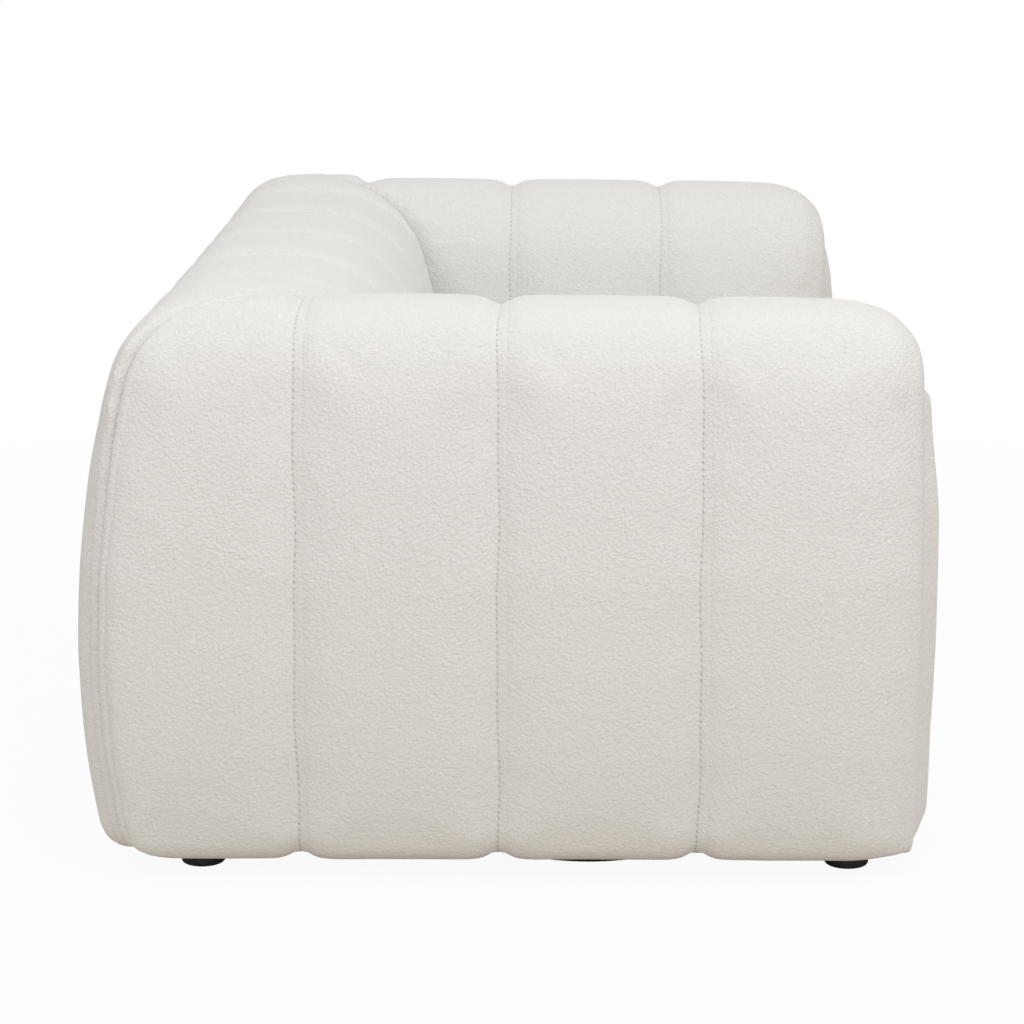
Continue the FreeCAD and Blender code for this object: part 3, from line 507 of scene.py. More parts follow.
@dataclass
class Pad:
    """One stuffed channel or facing, from its CAD solid's mesh."""

    node: str
    form: Form
    voxel: float
    pressure: float = 4.0
    steps: int = 20
    crown_lift: float = 7 * MM
    forward_run: tuple[float, float] = (-0.245, 0.40)
    crown_run: tuple[float, float] = (0.35, 0.60)
    end_reach: float = 7 * MM
    end_run: tuple[float, float] = (0.40, 0.47)
    facing_lean: float = 13 * MM
    facing_run: tuple[float, float] = (0.40, 0.56)
    ease_factor: float = 0.5
    ease_steps: int = 12
    lie_grain: float = 0.12
    lie_depth: float = 1.6 * MM
    piece: Optional[bpy.types.Object] = field(default=None, init=False)
    rest: Optional[np.ndarray] = field(default=None, init=False)

    def stuff(self, source: bpy.types.Object) -> None:
        """Copies the solid's mesh, closes it and gives it an even skin of quads.

        Args:
            source: the CAD node's object.
        """
        self.piece = linked(self.node + "_pad", source.data.copy())
        only(self.piece)
        bpy.ops.object.mode_set(mode="EDIT")
        bpy.ops.mesh.select_all(action="SELECT")
        bpy.ops.mesh.remove_doubles(threshold=MERGE)
        bpy.ops.object.mode_set(mode="OBJECT")
        skin = self.piece.modifiers.new("skin", "REMESH")
        skin.mode = "VOXEL"
        skin.voxel_size = self.voxel
        skin.use_smooth_shade = True
        apply_modifiers(self.piece)
        self.rest = self.tailored(coordinates(self.piece))
        set_coordinates(self.piece, self.rest)

    def tailored(self, places: np.ndarray) -> np.ndarray:
        """Arm pads as they are sewn: a fuller front end, and a facing that leans back on top."""
        if self.form not in (Form.ARM, Form.FACING):
            return places
        y, z = places[:, 1], places[:, 2]
        forward = rising(-y, *self.forward_run) ** 2
        z += self.crown_lift * forward * rising(z, *self.crown_run)
        if self.form is Form.FACING:
            y += self.facing_lean * rising(z, *self.facing_run)
        else:
            y -= self.end_reach * rising(-y, *self.end_run)
        return places

    def hold(self, free: np.ndarray) -> None:
        """Pins the cloth where it is sewn down or lies on the frame.

        Args:
            free: for each vertex, whether it is on the shown cloth away from a seam.
        """
        group = self.piece.vertex_groups.new(name="held")
        group.add([int(n) for n in np.flatnonzero(~free)], 1.0, "REPLACE")
        cloth = self.piece.modifiers.new("stuffing", "CLOTH")
        settings = cloth.settings
        settings.vertex_group_mass = "held"
        settings.quality = 5
        settings.mass = 0.4
        settings.tension_stiffness = 20
        settings.compression_stiffness = 20
        settings.bending_stiffness = 2.0
        settings.use_pressure = True
        settings.uniform_pressure_force = self.pressure
        settings.effector_weights.gravity = 0.0
        cloth.collision_settings.use_collision = False
        cloth.point_cache.frame_start = 1
        cloth.point_cache.frame_end = self.steps

    def settle(self) -> None:
        """Keeps the stuffed shape, with no point moved further than its form allows."""
        apply_modifiers(self.piece)
        moved = coordinates(self.piece) - self.rest
        length = np.linalg.norm(moved, axis=1)
        share = np.minimum(1.0, self.form.swell / np.maximum(length, TINY))
        set_coordinates(self.piece, self.rest + moved * share[:, None])

    def finish(self, wardrobe: Wardrobe) -> None:
        if self.node in CORNER_PADS:
            ease = self.piece.modifiers.new("ease", "SMOOTH")
            ease.factor, ease.iterations = self.ease_factor, self.ease_steps
        round_off = self.piece.modifiers.new("round_off", "SUBSURF")
        round_off.levels = round_off.render_levels = 1
        texture = bpy.data.textures.new(self.node + "_lie", "CLOUDS")
        texture.noise_scale = self.lie_grain
        lift = self.piece.modifiers.new("lie", "DISPLACE")
        lift.texture = texture
        lift.texture_coords = "LOCAL"
        lift.strength = self.lie_depth
        apply_modifiers(self.piece)
        self.piece.vertex_groups.clear()
        only(self.piece)
        bpy.ops.object.shade_smooth()
        wardrobe.dress(self.piece, Finish.CLOTH)

    def declare(self) -> None:
        """Hides the solid the pad stands for and attaches the pad to the root body."""
        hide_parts(self.node)
        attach(self.piece, ROOT)


@dataclass(frozen=True)
class Section:
    """Upright plane of a seam: its foot below the outer face, the way inwards and its normal."""

    foot: Vector
    inward: Vector
    normal: Vector

    def at(self, across: float, up: float, aside: float) -> Vector:
        """Point from its distance inwards, its height and its distance beside the plane."""
        return self.foot + self.inward * across + UP * up + self.normal * aside


Ray = tuple[float, float, float, float]


@dataclass(frozen=True)
class Walk:
    """Rays that feel their way over a section, as starts and aims in its own plane."""

    far: float = 0.3
    pace: float = 3 * MM
    turn_pace: float = math.radians(0.8)

    def sweep(
        self, first: Sequence[float], last: Sequence[float], aim: Sequence[float]
    ) -> list[Ray]:
        """Parallel rays whose starts run in a straight line."""
        count = max(2, int(math.dist(first, last) / self.pace))
        shares = [n / (count - 1) for n in range(count)]
        return [(*(a + (b - a) * s for a, b in zip(first, last)), *aim) for s in shares]

    def fan(self, centre: Sequence[float], first: float, last: float, reach: float) -> list[Ray]:
        """Rays from round a centre, all aimed at it."""
        count = max(2, int(abs(last - first) / self.turn_pace))
        rays = []
        for n in range(count):
            turn = first + (last - first) * n / (count - 1)
            out = (math.cos(turn), math.sin(turn))
            start = (centre[0] + out[0] * reach, centre[1] + out[1] * reach)
            rays.append((*start, -out[0], -out[1]))
        return rays

    def hem(self, hem: float) -> list[Ray]:
        """Round the turn of the cover from below."""
        return self.fan((hem, hem), -math.pi / 2, -math.pi, self.far)

    def arch(self, width: float, top: float, hem: float, seat: float) -> list[Ray]:
        """Over an arm or the back, from its underside to the seat."""
        shoulder = max(top - width / 2, seat)
        rays = self.hem(hem) + self.sweep((-self.far, hem), (-self.far, shoulder), (1, 0))
        rays += self.fan((width / 2, shoulder), math.pi, 0, width / 2 + self.far)
        inner = width + self.far / 3
        return rays + self.sweep((inner, shoulder), (inner, seat), (-1, 0))

    def bench(self, depth: float, top: float, hem: float, nose: float) -> list[Ray]:
        """Up the front of the seat, over its nose and along its top."""
        rays = self.hem(hem) + self.sweep((-self.far, hem), (-self.far, top - nose), (1, 0))
        rays += self.fan((nose, top - nose), math.pi, math.pi / 2, self.far)
        return rays + self.sweep((nose, top + self.far), (depth, top + self.far), (0, -1))


@dataclass
class Seam:
    """Stitched valley where two channels meet, laid on the pads' own cloth."""

    section: Section
    rays: list[Ray]
    beside: tuple[str, ...]
    limit: float = math.inf
    lip: float = 12 * MM
    depth: float = 5.0 * MM
    crest: float = 0.0
    thickness: float = 2.5 * MM
    edge_sink: float = 1.0 * MM
    fade: float = 25 * MM
    fade_sink: float = 4 * MM
    ease: int = 3
    jump: float = 20 * MM
    row: float = 2.7 * MM
    rows_to_stitch: int = 3
    hole: float = 1.4 * MM
    hole_lift: float = 0.35
    # Painted shade of the seam: its overall strength, along the groove, at the needle holes, and
    # its sway along the seam.
    seam_shade: float = 1.0
    groove_shade: float = 0.12
    hole_shade: float = 0.55
    hole_shade_sway: float = 0.25
    hole_shade_pitch: float = 233.0
    sway: float = 1.3 * MM
    sway_pitches: tuple[float, float] = (19.0, 41.0)
    sway_share: float = 0.6
    columns: tuple[float, ...] = (-1.0, -0.7, -0.4, -0.12, 0.0, 0.12, 0.4, 0.7, 1.0)

    def felt(self, pads: Sequence[bpy.types.Object], aside: float) -> np.ndarray:
        """Outermost cloth beside the seam, one place for each ray that meets it."""
        found = []
        for across, up, aim_across, aim_up in self.rays:
            start = self.section.at(across, up, aside)
            aim = self.section.inward * aim_across + UP * aim_up
            best = None
            for pad in pads:
                hit, place, _, _ = pad.ray_cast(start, aim)
                if hit and (best is None or (place - start).length < (best - start).length):
                    best = place
            found.append(tuple(best) if best else (math.nan,) * 3)
        return np.array(found)

    def unbroken(self, middle: np.ndarray) -> slice:
        """Longest stretch without a jump, cut where it passes the limit."""
        steps = np.linalg.norm(np.diff(middle, axis=0), axis=1)
        breaks = [0, *(np.flatnonzero(steps > self.jump) + 1).tolist(), len(middle)]
        start, end = max(zip(breaks, breaks[1:]), key=lambda pair: pair[1] - pair[0])
        across = (middle[start:end] - np.array(self.section.foot)) @ np.array(self.section.inward)
        past = np.flatnonzero(across > self.limit)
        return slice(start, start + int(past[0]) if len(past) else end)

    def eased(self, places: np.ndarray) -> np.ndarray:
        """Places averaged with their neighbours."""
        padded = np.pad(places, ((self.ease, self.ease), (0, 0)), "edge")
        window = 2 * self.ease + 1
        return sum(padded[n:n + len(places)] for n in range(window)) / window

    def edges(self, pads: Sequence[bpy.types.Object]) -> tuple[np.ndarray, ...]:
        """Both edges of the strip in even rows, and each row's distance along it."""
        left, right = (self.felt(pads, aside) for aside in (-self.lip, self.lip))
        both = ~(np.isnan(left[:, 0]) | np.isnan(right[:, 0]))
        left, right = left[both], right[both]
        keep = self.unbroken((left + right) / 2)
        left, right = self.eased(left[keep]), self.eased(right[keep])
        steps = np.linalg.norm(np.diff((left + right) / 2, axis=0), axis=1)
        run = np.concatenate([[0.0], np.cumsum(steps)])
        marks = np.arange(0.0, run[-1], self.row)
        left, right = (
            np.stack([np.interp(marks, run, side[:, axis]) for axis in range(3)], 1)
            for side in (left, right)
        )
        return left, right, marks

    def outward(self, middle: np.ndarray) -> np.ndarray:
        """Way out of the cloth at each row."""
        out = np.cross(np.gradient(middle, axis=0), np.array(self.section.normal))
        out /= np.linalg.norm(out, axis=1)[:, None]
        turned = out[len(out) // 4] @ np.array(self.section.inward) > 0
        return -out if turned else out

    def build(self, name: str, pads: dict[str, bpy.types.Object]) -> bpy.types.Object:
        """Lays the valley as a thin closed strip.

        Args:
            name: the strip's name.
            pads: the finished pads by node.

        Returns:
            The strip, without material.
        """
        left, right, marks = self.edges([pads[node] for node in self.beside])
        middle = (left + right) / 2
        normal = np.array(self.section.normal)
        outward = self.outward(middle)
        shown = np.clip(np.minimum(marks, marks[-1] - marks) / self.fade, 0, 1)
        middle = middle - outward * (self.fade_sink * (1 - shown) ** 2)[:, None]
        slow, fast = self.sway_pitches
        drift = np.sin(marks * slow + len(marks)) + self.sway_share * np.sin(marks * fast)
        holes = (np.arange(len(marks)) % self.rows_to_stitch == 0).astype(float)
        # Painted shade along the groove's middle column, deeper at every needle hole.
        uneven = 1.0 - self.hole_shade_sway + self.hole_shade_sway * np.sin(marks * self.hole_shade_pitch)
        tone = self.seam_shade * (self.groove_shade + self.hole_shade * holes * uneven)
        rings, seam_shading = [], []
        for u in self.columns:
            pricked = float(u == 0.0)
            sunk = self.depth * (1 - abs(u)) * shown + self.edge_sink * (abs(u) == 1.0)
            sunk = sunk - self.crest * math.sin(math.pi * abs(u)) * shown
            down = sunk + self.hole * pricked * (holes - self.hole_lift)
            place = middle + (right - left) / 2 * u - outward * down[:, None]
            rings.append(place + normal * (self.sway * drift * (1 - abs(u)))[:, None])
            seam_shading.append(pricked * tone)
        for u in (1.0, 0.0, -1.0):
            under = self.depth * (u == 0.0) + self.edge_sink + self.thickness
            rings.append(middle + (right - left) / 2 * u - outward * under)
            seam_shading.append(np.zeros(len(marks)))
        return self.strip(name, np.stack(rings, 1), np.stack(seam_shading, 1))

    def strip(self, name: str, rings: np.ndarray, seam_shading: np.ndarray) -> bpy.types.Object:
        """Closed strip through rings of points, with its layer of painted seam shade."""
        rows, around, _ = rings.shape
        corner = np.arange(rows * around).reshape(rows, around)
        turned = np.roll(corner, -1, axis=1)
        quads = np.stack([corner[:-1], turned[:-1], turned[1:], corner[1:]], 2).reshape(-1, 4)
        caps = [corner[0].tolist()[::-1], corner[-1].tolist()]
        mesh = bpy.data.meshes.new(name)
        mesh.from_pydata(rings.reshape(-1, 3).tolist(), [], quads.tolist() + caps)
        layer = mesh.attributes.new(SEAM_SHADE_LAYER, "FLOAT", "POINT")
        layer.data.foreach_set("value", seam_shading.ravel().astype(np.float32))
        made = linked(name, mesh)
        only(made)
        bpy.ops.object.mode_set(mode="EDIT")
        bpy.ops.mesh.select_all(action="SELECT")
        bpy.ops.mesh.normals_make_consistent(inside=False)
        bpy.ops.object.mode_set(mode="OBJECT")
        bpy.ops.object.shade_smooth()
        return made


@dataclass(frozen=True)
class Pattern:
    """Where the cover is sewn, from the boxes of the channels on both sides of each seam."""

    walk: Walk = Walk()
    hem: float = 62 * MM
    corner_hem: float = 100 * MM
    seat_clear: float = 12 * MM
    corner_stop: float = 45 * MM
    corner_share: float = 0.6
    corner_lip: float = 17 * MM
    corner_depth: float = 3 * MM
    corner_crest: float = 5 * MM
    corner_fade: float = 60 * MM
    corner_ease: int = 9
    # Strength of the painted seam shade at the corners and on the back.
    corner_seam_shade: float = 0.15
    back_seam_shade: float = 0.5
    nose: float = 85 * MM

    def seams(self) -> dict[str, Seam]:
        """Every seam of the cover by name."""
        low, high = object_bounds()
        seat_low, seat_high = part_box("seat_channel_2")
        back_low, back_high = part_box("back_channel_2")
        seat_top = seat_high.z + self.seat_clear
        arm = high.x + back_low.x
        back = high.y - back_low.y
        over_back = self.walk.arch(back, back_high.z, self.hem, seat_top)
        made = {}
        for side, sign in (("right", -1.0), ("left", 1.0)):
            over_arm = self.walk.arch(arm, back_high.z, self.hem, seat_top)
            for n in (1, 2, 3):
                pair = (f"{side}_arm_channel_{n}", f"{side}_arm_channel_{n + 1}")
                y = (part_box(pair[0])[0].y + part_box(pair[1])[1].y) / 2
                foot = Vector((sign * high.x, y, 0))
                section = Section(foot, Vector((-sign, 0, 0)), Vector((0, 1, 0)))
                limit = (high.y - y) * arm / back if n == 1 else math.inf
                made[f"{side}_arm_seam_{n}"] = Seam(section, over_arm, pair, limit)
            mitre = Vector((-sign * arm, -back, 0))
            inward = mitre.normalized()
            section = Section(Vector((sign * high.x, high.y, 0)), inward, UP.cross(inward))
            end, next_one = (6, 5) if sign > 0 else (1, 2)
            beside = (
                f"back_channel_{end}", f"{side}_arm_channel_1",
                f"{side}_arm_channel_2", f"back_channel_{next_one}",
            )
            rays = self.walk.arch(mitre.length, high.z, self.corner_hem, seat_top)
            made[f"{side}_corner_seam"] = Seam(
                section, rays, beside, mitre.length * self.corner_share,
                lip=self.corner_lip, depth=self.corner_depth, crest=self.corner_crest,
                fade=self.corner_fade, ease=self.corner_ease, seam_shade=self.corner_seam_shade,
            )
        for n in range(1, 6):
            pair = (f"back_channel_{n}", f"back_channel_{n + 1}")
            x = (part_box(pair[0])[1].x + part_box(pair[1])[0].x) / 2
            section = Section(Vector((x, high.y, 0)), Vector((0, -1, 0)), Vector((1, 0, 0)))
            limit = back - self.corner_stop / 2 if n in (1, 5) else math.inf
            made[f"back_seam_{n}"] = Seam(section, over_back, pair, limit, seam_shade=self.back_seam_shade)
        along_seat = self.walk.bench(
            seat_high.y - seat_low.y - self.seat_clear, seat_high.z, self.hem, self.nose
        )
        for n in (1, 2, 3):
            pair = (f"seat_channel_{n}", f"seat_channel_{n + 1}")
            x = (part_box(pair[0])[1].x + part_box(pair[1])[0].x) / 2
            section = Section(Vector((x, seat_low.y, 0)), Vector((0, 1, 0)), Vector((1, 0, 0)))
            made[f"seat_seam_{n}"] = Seam(section, along_seat, pair)
        return made


@dataclass
class Upholstery:
    """All the sofa's pads, and where their cloth is free to swell."""

    nodes: dict[str, bpy.types.Object]
    wardrobe: Wardrobe
    seam_clear: float = 9 * MM
    hem_clear: float = 25 * MM
    back_middle: float = 0.309
    arm_middle: float = 0.635
    faces_up: float = 0.2
    faces_aside: float = 0.3
    faces_front: float = -0.4
    pads: list[Pad] = field(default_factory=list)

    def form_of(self, name: str) -> Form:
        """Kind of pad, from its name."""
        if "facing" in name:
            return Form.FACING
        if name.startswith("seat"):
            return Form.SEAT
        return Form.BACK if name.startswith("back") else Form.ARM

    def free_cloth(self, pad: Pad) -> np.ndarray:
        """Vertices on the shown side of a pad, away from its seams and from the frame.

        Args:
            pad: the pad, already stuffed.

        Returns:
            One truth value for each vertex.
        """
        normals = np.empty(len(pad.piece.data.vertices) * 3, np.float32)
        pad.piece.data.vertices.foreach_get("normal", normals)
        normals = normals.reshape(-1, 3)
        low, high = (np.array(corner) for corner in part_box(pad.node))
        places = pad.rest
        axis = 0 if pad.form in (Form.BACK, Form.SEAT) else 1
        near = np.minimum(places[:, axis] - low[axis], high[axis] - places[:, axis])
        outward = normals[:, 2] > self.faces_up
        if pad.form is Form.BACK:
            out = np.sign(places[:, 1] - self.back_middle)
            outward |= normals[:, 1] * out > self.faces_aside
        elif pad.form in (Form.ARM, Form.FACING):
            side = np.sign(low[0] + high[0])
            out = np.sign(places[:, 0] - side * self.arm_middle)
            outward |= normals[:, 0] * out > self.faces_aside
        if pad.form is not Form.BACK:
            outward |= normals[:, 1] < self.faces_front
        return outward & (near > self.seam_clear) & (places[:, 2] > low[2] + self.hem_clear)

    def build(self) -> None:
        """Makes every pad, stuffs them together in one simulation and dresses them."""
        for name in sorted(self.nodes):
            if "_channel_" in name or name.endswith("_facing"):
                fine = name in CORNER_PADS
                pad = Pad(name, self.form_of(name), FINE_VOXEL if fine else VOXEL)
                pad.stuff(self.nodes[name])
                self.pads.append(pad)
        scene = bpy.context.scene
        for pad in self.pads:
            pad.hold(self.free_cloth(pad))
        for frame in range(1, self.pads[0].steps + 1):
            scene.frame_set(frame)
        for pad in self.pads:
            pad.settle()
        scene.frame_set(1)
        for pad in self.pads:
            pad.finish(self.wardrobe)
        self.sew()
        for pad in self.pads:
            pad.declare()
            log.info("%s: %d vertices", pad.piece.name, len(pad.piece.data.vertices))

    def sew(self) -> None:
        """Lays every seam against the finished pads, and joins each to the first pad beside it."""
        bpy.context.view_layer.update()
        pads = {pad.node: pad.piece for pad in self.pads}
        seams = Pattern().seams()
        strips = {name: seam.build(name, pads) for name, seam in seams.items()}
        for name, strip in strips.items():
            strip.data.materials.append(self.wardrobe.made[Finish.CLOTH])
            carrier = pads[seams[name].beside[0]]
            only(carrier)
            strip.select_set(True)
            bpy.ops.object.join()


@dataclass
class Glides:
    """Black moulded glides under the corners, each nailed up through a shallow dish."""

    nodes: dict[str, bpy.types.Object]
    wardrobe: Wardrobe
    sides: int = 64
    edge: float = 4 * MM
    rim: float = 2.4
    step: float = 0.5
    dish: float = 0.35
    rounding: float = 0.8
    sharp: float = math.radians(50)

    def centres(self) -> list[tuple[float, float]]:
        """Middles of the glides, from the group's own box."""
        low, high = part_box("glides")
        radius = self.radius()
        xs = (low.x + radius, high.x - radius)
        ys = (low.y + radius, high.y - radius)
        return [(x, y) for x in xs for y in ys]

    def radius(self) -> float:
        """Radius of a glide, from the width of the vertices beside the group's left end."""
        places = coordinates(self.nodes["glides"])
        left = places[places[:, 0] > 0]
        rear = left[left[:, 1] > 0]
        return float(rear[:, 0].max() - rear[:, 0].min()) / 2

    def build(self) -> None:
        """Models one glide and copies it under each corner."""
        low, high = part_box("glides")
        radius = self.radius()
        height = high.z - low.z
        bpy.ops.object.select_all(action="DESELECT")
        bpy.ops.mesh.primitive_cylinder_add(
            vertices=self.sides, radius=radius, depth=height, location=(0, 0, height / 2)
        )
        glide = bpy.context.object
        bpy.ops.object.transform_apply(location=True, rotation=True, scale=True)
        bpy.ops.object.mode_set(mode="EDIT")
        bpy.ops.mesh.select_all(action="DESELECT")
        bpy.ops.object.mode_set(mode="OBJECT")
        for face in glide.data.polygons:
            face.select = face.normal.z < -0.5
        bpy.ops.object.mode_set(mode="EDIT")
        bpy.ops.mesh.select_mode(type="FACE")
        bpy.ops.mesh.inset(thickness=self.edge * self.rim, depth=0.0)
        bpy.ops.mesh.inset(thickness=self.edge * self.step, depth=-self.edge * self.dish)
        bpy.ops.object.mode_set(mode="OBJECT")
        bevel = glide.modifiers.new("edge", "BEVEL")
        bevel.width = self.edge * self.rounding
        bevel.segments = 4
        bevel.limit_method = "ANGLE"
        bevel.angle_limit = self.sharp
        apply_modifiers(glide)
        bpy.ops.object.shade_smooth_by_angle(angle=SMOOTH_ANGLE)
        for x, y in self.centres():
            mesh = glide.data.copy()
            mesh.transform(Matrix.Translation((x, y, 0.0)))
            end = "rear" if y > 0 else "front"
            side = "left" if x > 0 else "right"
            piece = linked(f"{end}_{side}_glide_foot", mesh)
            self.wardrobe.dress(piece, Finish.GLIDE)
            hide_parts("glides")
            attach(piece, ROOT)
        bpy.data.objects.remove(glide)


@dataclass
class BottomCloth:
    """Black cloth stapled under the frame, slack between the rails, one edge peeping out."""

    nodes: dict[str, bpy.types.Object]
    wardrobe: Wardrobe
    cell: float = 10 * MM
    sag: float = 5 * MM
    sag_width: float = 0.72
    sag_stretch: float = 1.2
    sag_lead: float = 0.1
    room: float = 0.3 * MM
    loose: tuple[float, float] = (-0.165, -0.015)
    creep: float = 24 * MM
    drop: float = 3.3 * MM
    strip: float = 30 * MM

    def lines(self, stops: Iterable[float]) -> np.ndarray:
        """Grid lines that pass through all the given places."""
        ordered = sorted(set(stops))
        parts = []
        for a, b in zip(ordered, ordered[1:]):
            count = max(1, round((b - a) / self.cell))
            parts.append(np.linspace(a, b, count + 1)[:-1])
        return np.append(np.concatenate(parts), ordered[-1])

    def openings(self, glides: Glides, low: Vector) -> list[tuple[float, ...]]:
        """Square openings round the glides, and the notch at the front, as x and y ranges."""
        corners = coordinates(self.nodes["bottom_cloth"])
        notch_x = float(np.abs(corners[:, 0]).min())
        notch_y = float(corners[np.abs(corners[:, 0]) < notch_x + self.room][:, 1].min())
        half = glides.radius() + self.room
        found = [(x - half, x + half, y - half, y + half) for x, y in glides.centres()]
        return [*found, (-notch_x, notch_x, low.y - self.cell, notch_y)]

    def woven(self, openings: list[tuple[float, ...]], low: Vector, high: Vector) -> bpy.types.Mesh:
        """Grid of cloth with its openings, slack between the rails and loose along one edge."""
        xs = self.lines([low.x, high.x, *(x for o in openings for x in o[:2])])
        ys = self.lines([low.y, high.y, *(y for o in openings for y in o[2:] if y > low.y)])
        across, along = np.meshgrid(xs, ys)
        ups = np.full(across.shape, high.z) - self.slack(across, along, low, high)
        edge = np.clip((-across - (high.x - self.strip)) / self.strip, 0, 1)
        middle, reach = sum(self.loose) / 2, (self.loose[1] - self.loose[0]) / 2
        bump = np.cos(np.clip((along - middle) / reach, -1, 1) * math.pi / 2)
        ups -= self.drop * np.sqrt(bump) * np.sqrt(edge)
        shifted = across - self.creep * np.sqrt(bump) * edge**2
        faces = []
        width = len(xs)
        for row in range(len(ys) - 1):
            for column in range(width - 1):
                x = (xs[column] + xs[column + 1]) / 2
                y = (ys[row] + ys[row + 1]) / 2
                if not any(a < x < b and c < y < d for a, b, c, d in openings):
                    n = row * width + column
                    faces.append((n, n + 1, n + width + 1, n + width))
        mesh = bpy.data.meshes.new("bottom_cloth_sheet")
        mesh.from_pydata(np.stack([shifted, along, ups], 2).reshape(-1, 3).tolist(), [], faces)
        return mesh

    def build(self, glides: Glides) -> None:
        """Lays the sheet round the glides.

        Args:
            glides: the glides, which the sheet has openings for.
        """
        low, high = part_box("bottom_cloth")
        openings = self.openings(glides, low)
        sheet = linked("bottom_cloth_sheet", self.woven(openings, low, high))
        only(sheet)
        bpy.ops.object.mode_set(mode="EDIT")
        bpy.ops.mesh.select_all(action="SELECT")
        bpy.ops.mesh.delete_loose()
        bpy.ops.object.mode_set(mode="OBJECT")
        body = sheet.modifiers.new("body", "SOLIDIFY")
        body.thickness = high.z - low.z
        apply_modifiers(sheet)
        bpy.ops.object.shade_smooth_by_angle(angle=SMOOTH_ANGLE)
        self.wardrobe.dress(sheet, Finish.BOTTOM)
        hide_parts("bottom_cloth")
        cut = (high.x - low.x, high.y - low.y)
        out = sum((b - a) * (d - max(c, low.y)) for a, b, c, d in openings)
        cut[0] * cut[1] - out
        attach(sheet, ROOT)

    def slack(self, across: np.ndarray, along: np.ndarray, low: Vector, high: Vector) -> np.ndarray:
        """How far the sheet hangs between the frame's rails."""
        wide = np.cos(np.clip(across / (high.x * self.sag_width), -1, 1) * math.pi / 2)
        deep = (along - low.y) / (high.y - low.y)
        run = np.clip(deep * self.sag_stretch - self.sag_lead, 0, 1)
        return self.sag * wide * np.sin(run * math.pi)


@dataclass
class Frame:
    """Hidden timber, foam, webbing and fasteners, which keep their CAD meshes."""

    nodes: dict[str, bpy.types.Object]
    wardrobe: Wardrobe

    def build(self, record: dict[str, Any]) -> None:
        """Dresses each carried-over node in the finish of its slot.

        Args:
            record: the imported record, which names each node's slot.
        """
        for part in record["subparts"]:
            node = self.nodes[part["node"]]
            if not node.hide_render:
                self.wardrobe.dress_node(node, Finish(part["material_slot"]))


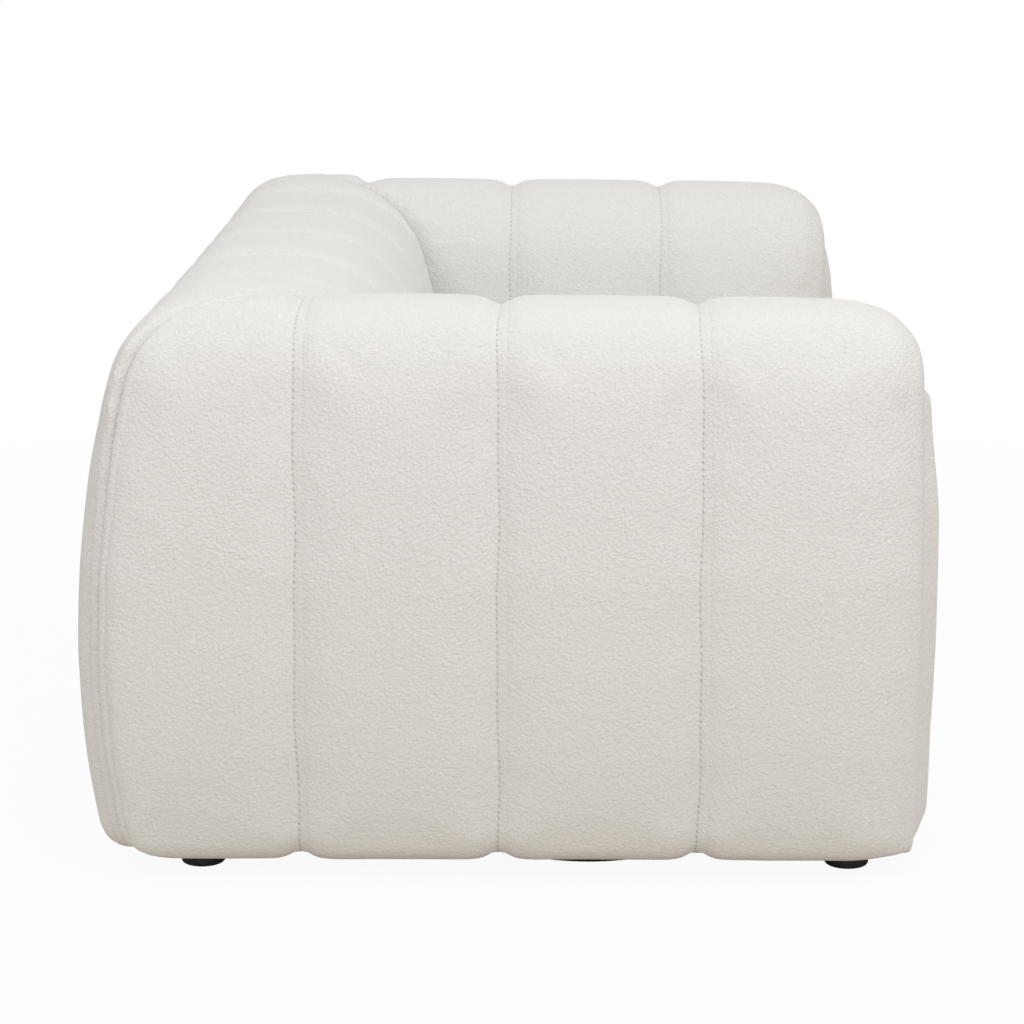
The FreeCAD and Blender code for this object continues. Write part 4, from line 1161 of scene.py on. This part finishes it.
@dataclass
class Studio:
    """Pale floor, white surround and soft light from above."""

    floor_size: float = 40.0
    key_place: tuple[float, float, float] = (-1.6, -0.6, 3.1)
    key_power: float = 36.0
    key_size: float = 3.2
    fill_place: tuple[float, float, float] = (-6.0, -0.6, 1.9)
    fill_power: float = 24.0
    fill_size: float = 3.0
    aim_height: float = 0.35
    surround: float = 0.75
    surround_tint: tuple[float, float, float] = (1.0, 0.995, 0.985)
    clear_from: float = 1.1
    clear_by: float = 2.6
    near_glow: float = 0.94
    more_glow: float = 0.06
    felt_low: tuple[float, float, float] = (0.63, 0.57, 0.51)
    felt_high: tuple[float, float, float] = (0.67, 0.61, 0.55)
    felt_scale: float = 8.0
    paper: tuple[float, float, float] = (0.82, 0.82, 0.82)

    def build(self) -> None:
        """Makes the floor, the lamps and the surround."""
        self.floor()
        self.lamp("key", self.key_place, self.key_power, self.key_size)
        self.lamp("fill", self.fill_place, self.fill_power, self.fill_size)
        self.world()
        bpy.context.scene.view_settings.view_transform = "Standard"

    def floor(self) -> None:
        """Pale floor that shows nearly white and keeps the sofa's shadow."""
        bpy.ops.object.select_all(action="DESELECT")
        bpy.ops.mesh.primitive_plane_add(size=self.floor_size, location=(0, 0, 0))
        floor = bpy.context.object
        floor.name = "studio_floor"
        made = bpy.data.materials.new("studio_floor")
        m = NodeMaker(made)
        away = m.node("ShaderNodeVectorMath", {"operation": "LENGTH"}, {0: m.place()}, "Value")
        seen = m.node("ShaderNodeLightPath", result="Is Camera Ray")
        felt = m.blend(m.noise(m.place(), self.felt_scale), self.felt_low, self.felt_high)
        colour = m.blend(seen, felt, self.paper)
        paper = m.node("ShaderNodeBsdfDiffuse", feeds={"Color": colour})
        glow = m.node("ShaderNodeEmission", feeds={"Color": (1, 1, 1, 1), "Strength": 1.0})
        far = away.between(self.clear_from, self.clear_by)
        share = seen * (far * self.more_glow + self.near_glow)
        shown = m.node("ShaderNodeMixShader", feeds={0: share, 1: paper, 2: glow})
        m.tree.links.new(shown.socket, m.output.inputs["Surface"])
        floor.data.materials.append(made)
        floor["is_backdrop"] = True

    def lamp(self, name: str, place: Sequence[float], power: float, size: float) -> None:
        """Square soft lamp aimed at the middle of the sofa."""
        data = bpy.data.lights.new(name, "AREA")
        data.energy = power
        data.size = size
        lamp = bpy.data.objects.new(name, data)
        bpy.context.scene.collection.objects.link(lamp)
        lamp.location = place
        aim = UP * self.aim_height - Vector(place)
        lamp.rotation_euler = aim.to_track_quat("-Z", "Y").to_euler()

    def world(self) -> None:
        """White to the camera, and softer as light."""
        world = bpy.data.worlds.new("surround")
        bpy.context.scene.world = world
        world.use_nodes = True
        tree = world.node_tree
        tree.nodes.clear()
        output = tree.nodes.new("ShaderNodeOutputWorld")
        rays = tree.nodes.new("ShaderNodeLightPath")
        light = tree.nodes.new("ShaderNodeBackground")
        light.inputs["Color"].default_value = (*self.surround_tint, 1.0)
        light.inputs["Strength"].default_value = self.surround
        shown = tree.nodes.new("ShaderNodeBackground")
        shown.inputs["Color"].default_value = (1, 1, 1, 1)
        either = tree.nodes.new("ShaderNodeMixShader")
        seen = tree.nodes.new("ShaderNodeMath")
        seen.operation = "MAXIMUM"
        for n, ray in enumerate(("Is Camera Ray", "Is Glossy Ray")):
            tree.links.new(rays.outputs[ray], seen.inputs[n])
        for n, node in enumerate((seen, light, shown)):
            tree.links.new(node.outputs[0], either.inputs[n])
        tree.links.new(either.outputs[0], output.inputs["Surface"])


@dataclass
class Camera:
    """Camera square to the near arm's outer face, a little above the sofa."""

    place: tuple[float, float, float] = (-4.051, -0.038, 1.168)
    pitch: float = math.radians(12.5)
    yaw: float = math.radians(-0.63)
    lens: float = 104.52
    sensor: float = 36.0

    def build(self) -> None:
        """Makes the camera the scene's own."""
        data = bpy.data.cameras.new("side_view")
        data.lens = self.lens
        data.sensor_width = self.sensor
        camera = bpy.data.objects.new("side_view", data)
        bpy.context.scene.collection.objects.link(camera)
        camera.location = self.place
        turn = math.radians(-90) - self.yaw
        camera.rotation_euler = Euler((math.radians(90) - self.pitch, 0.0, turn), "XYZ")
        bpy.context.scene.camera = camera


def main() -> None:
    """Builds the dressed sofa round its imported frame."""
    logging.basicConfig(level=logging.INFO, format="%(name)s: %(message)s")
    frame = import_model()
    nodes = frame["nodes"]
    wardrobe = Wardrobe()
    Upholstery(nodes, wardrobe).build()
    glides = Glides(nodes, wardrobe)
    glides.build()
    BottomCloth(nodes, wardrobe).build(glides)
    Frame(nodes, wardrobe).build(frame["record"])
    Studio().build()
    Camera().build()


if __name__ == "__main__":
    main()
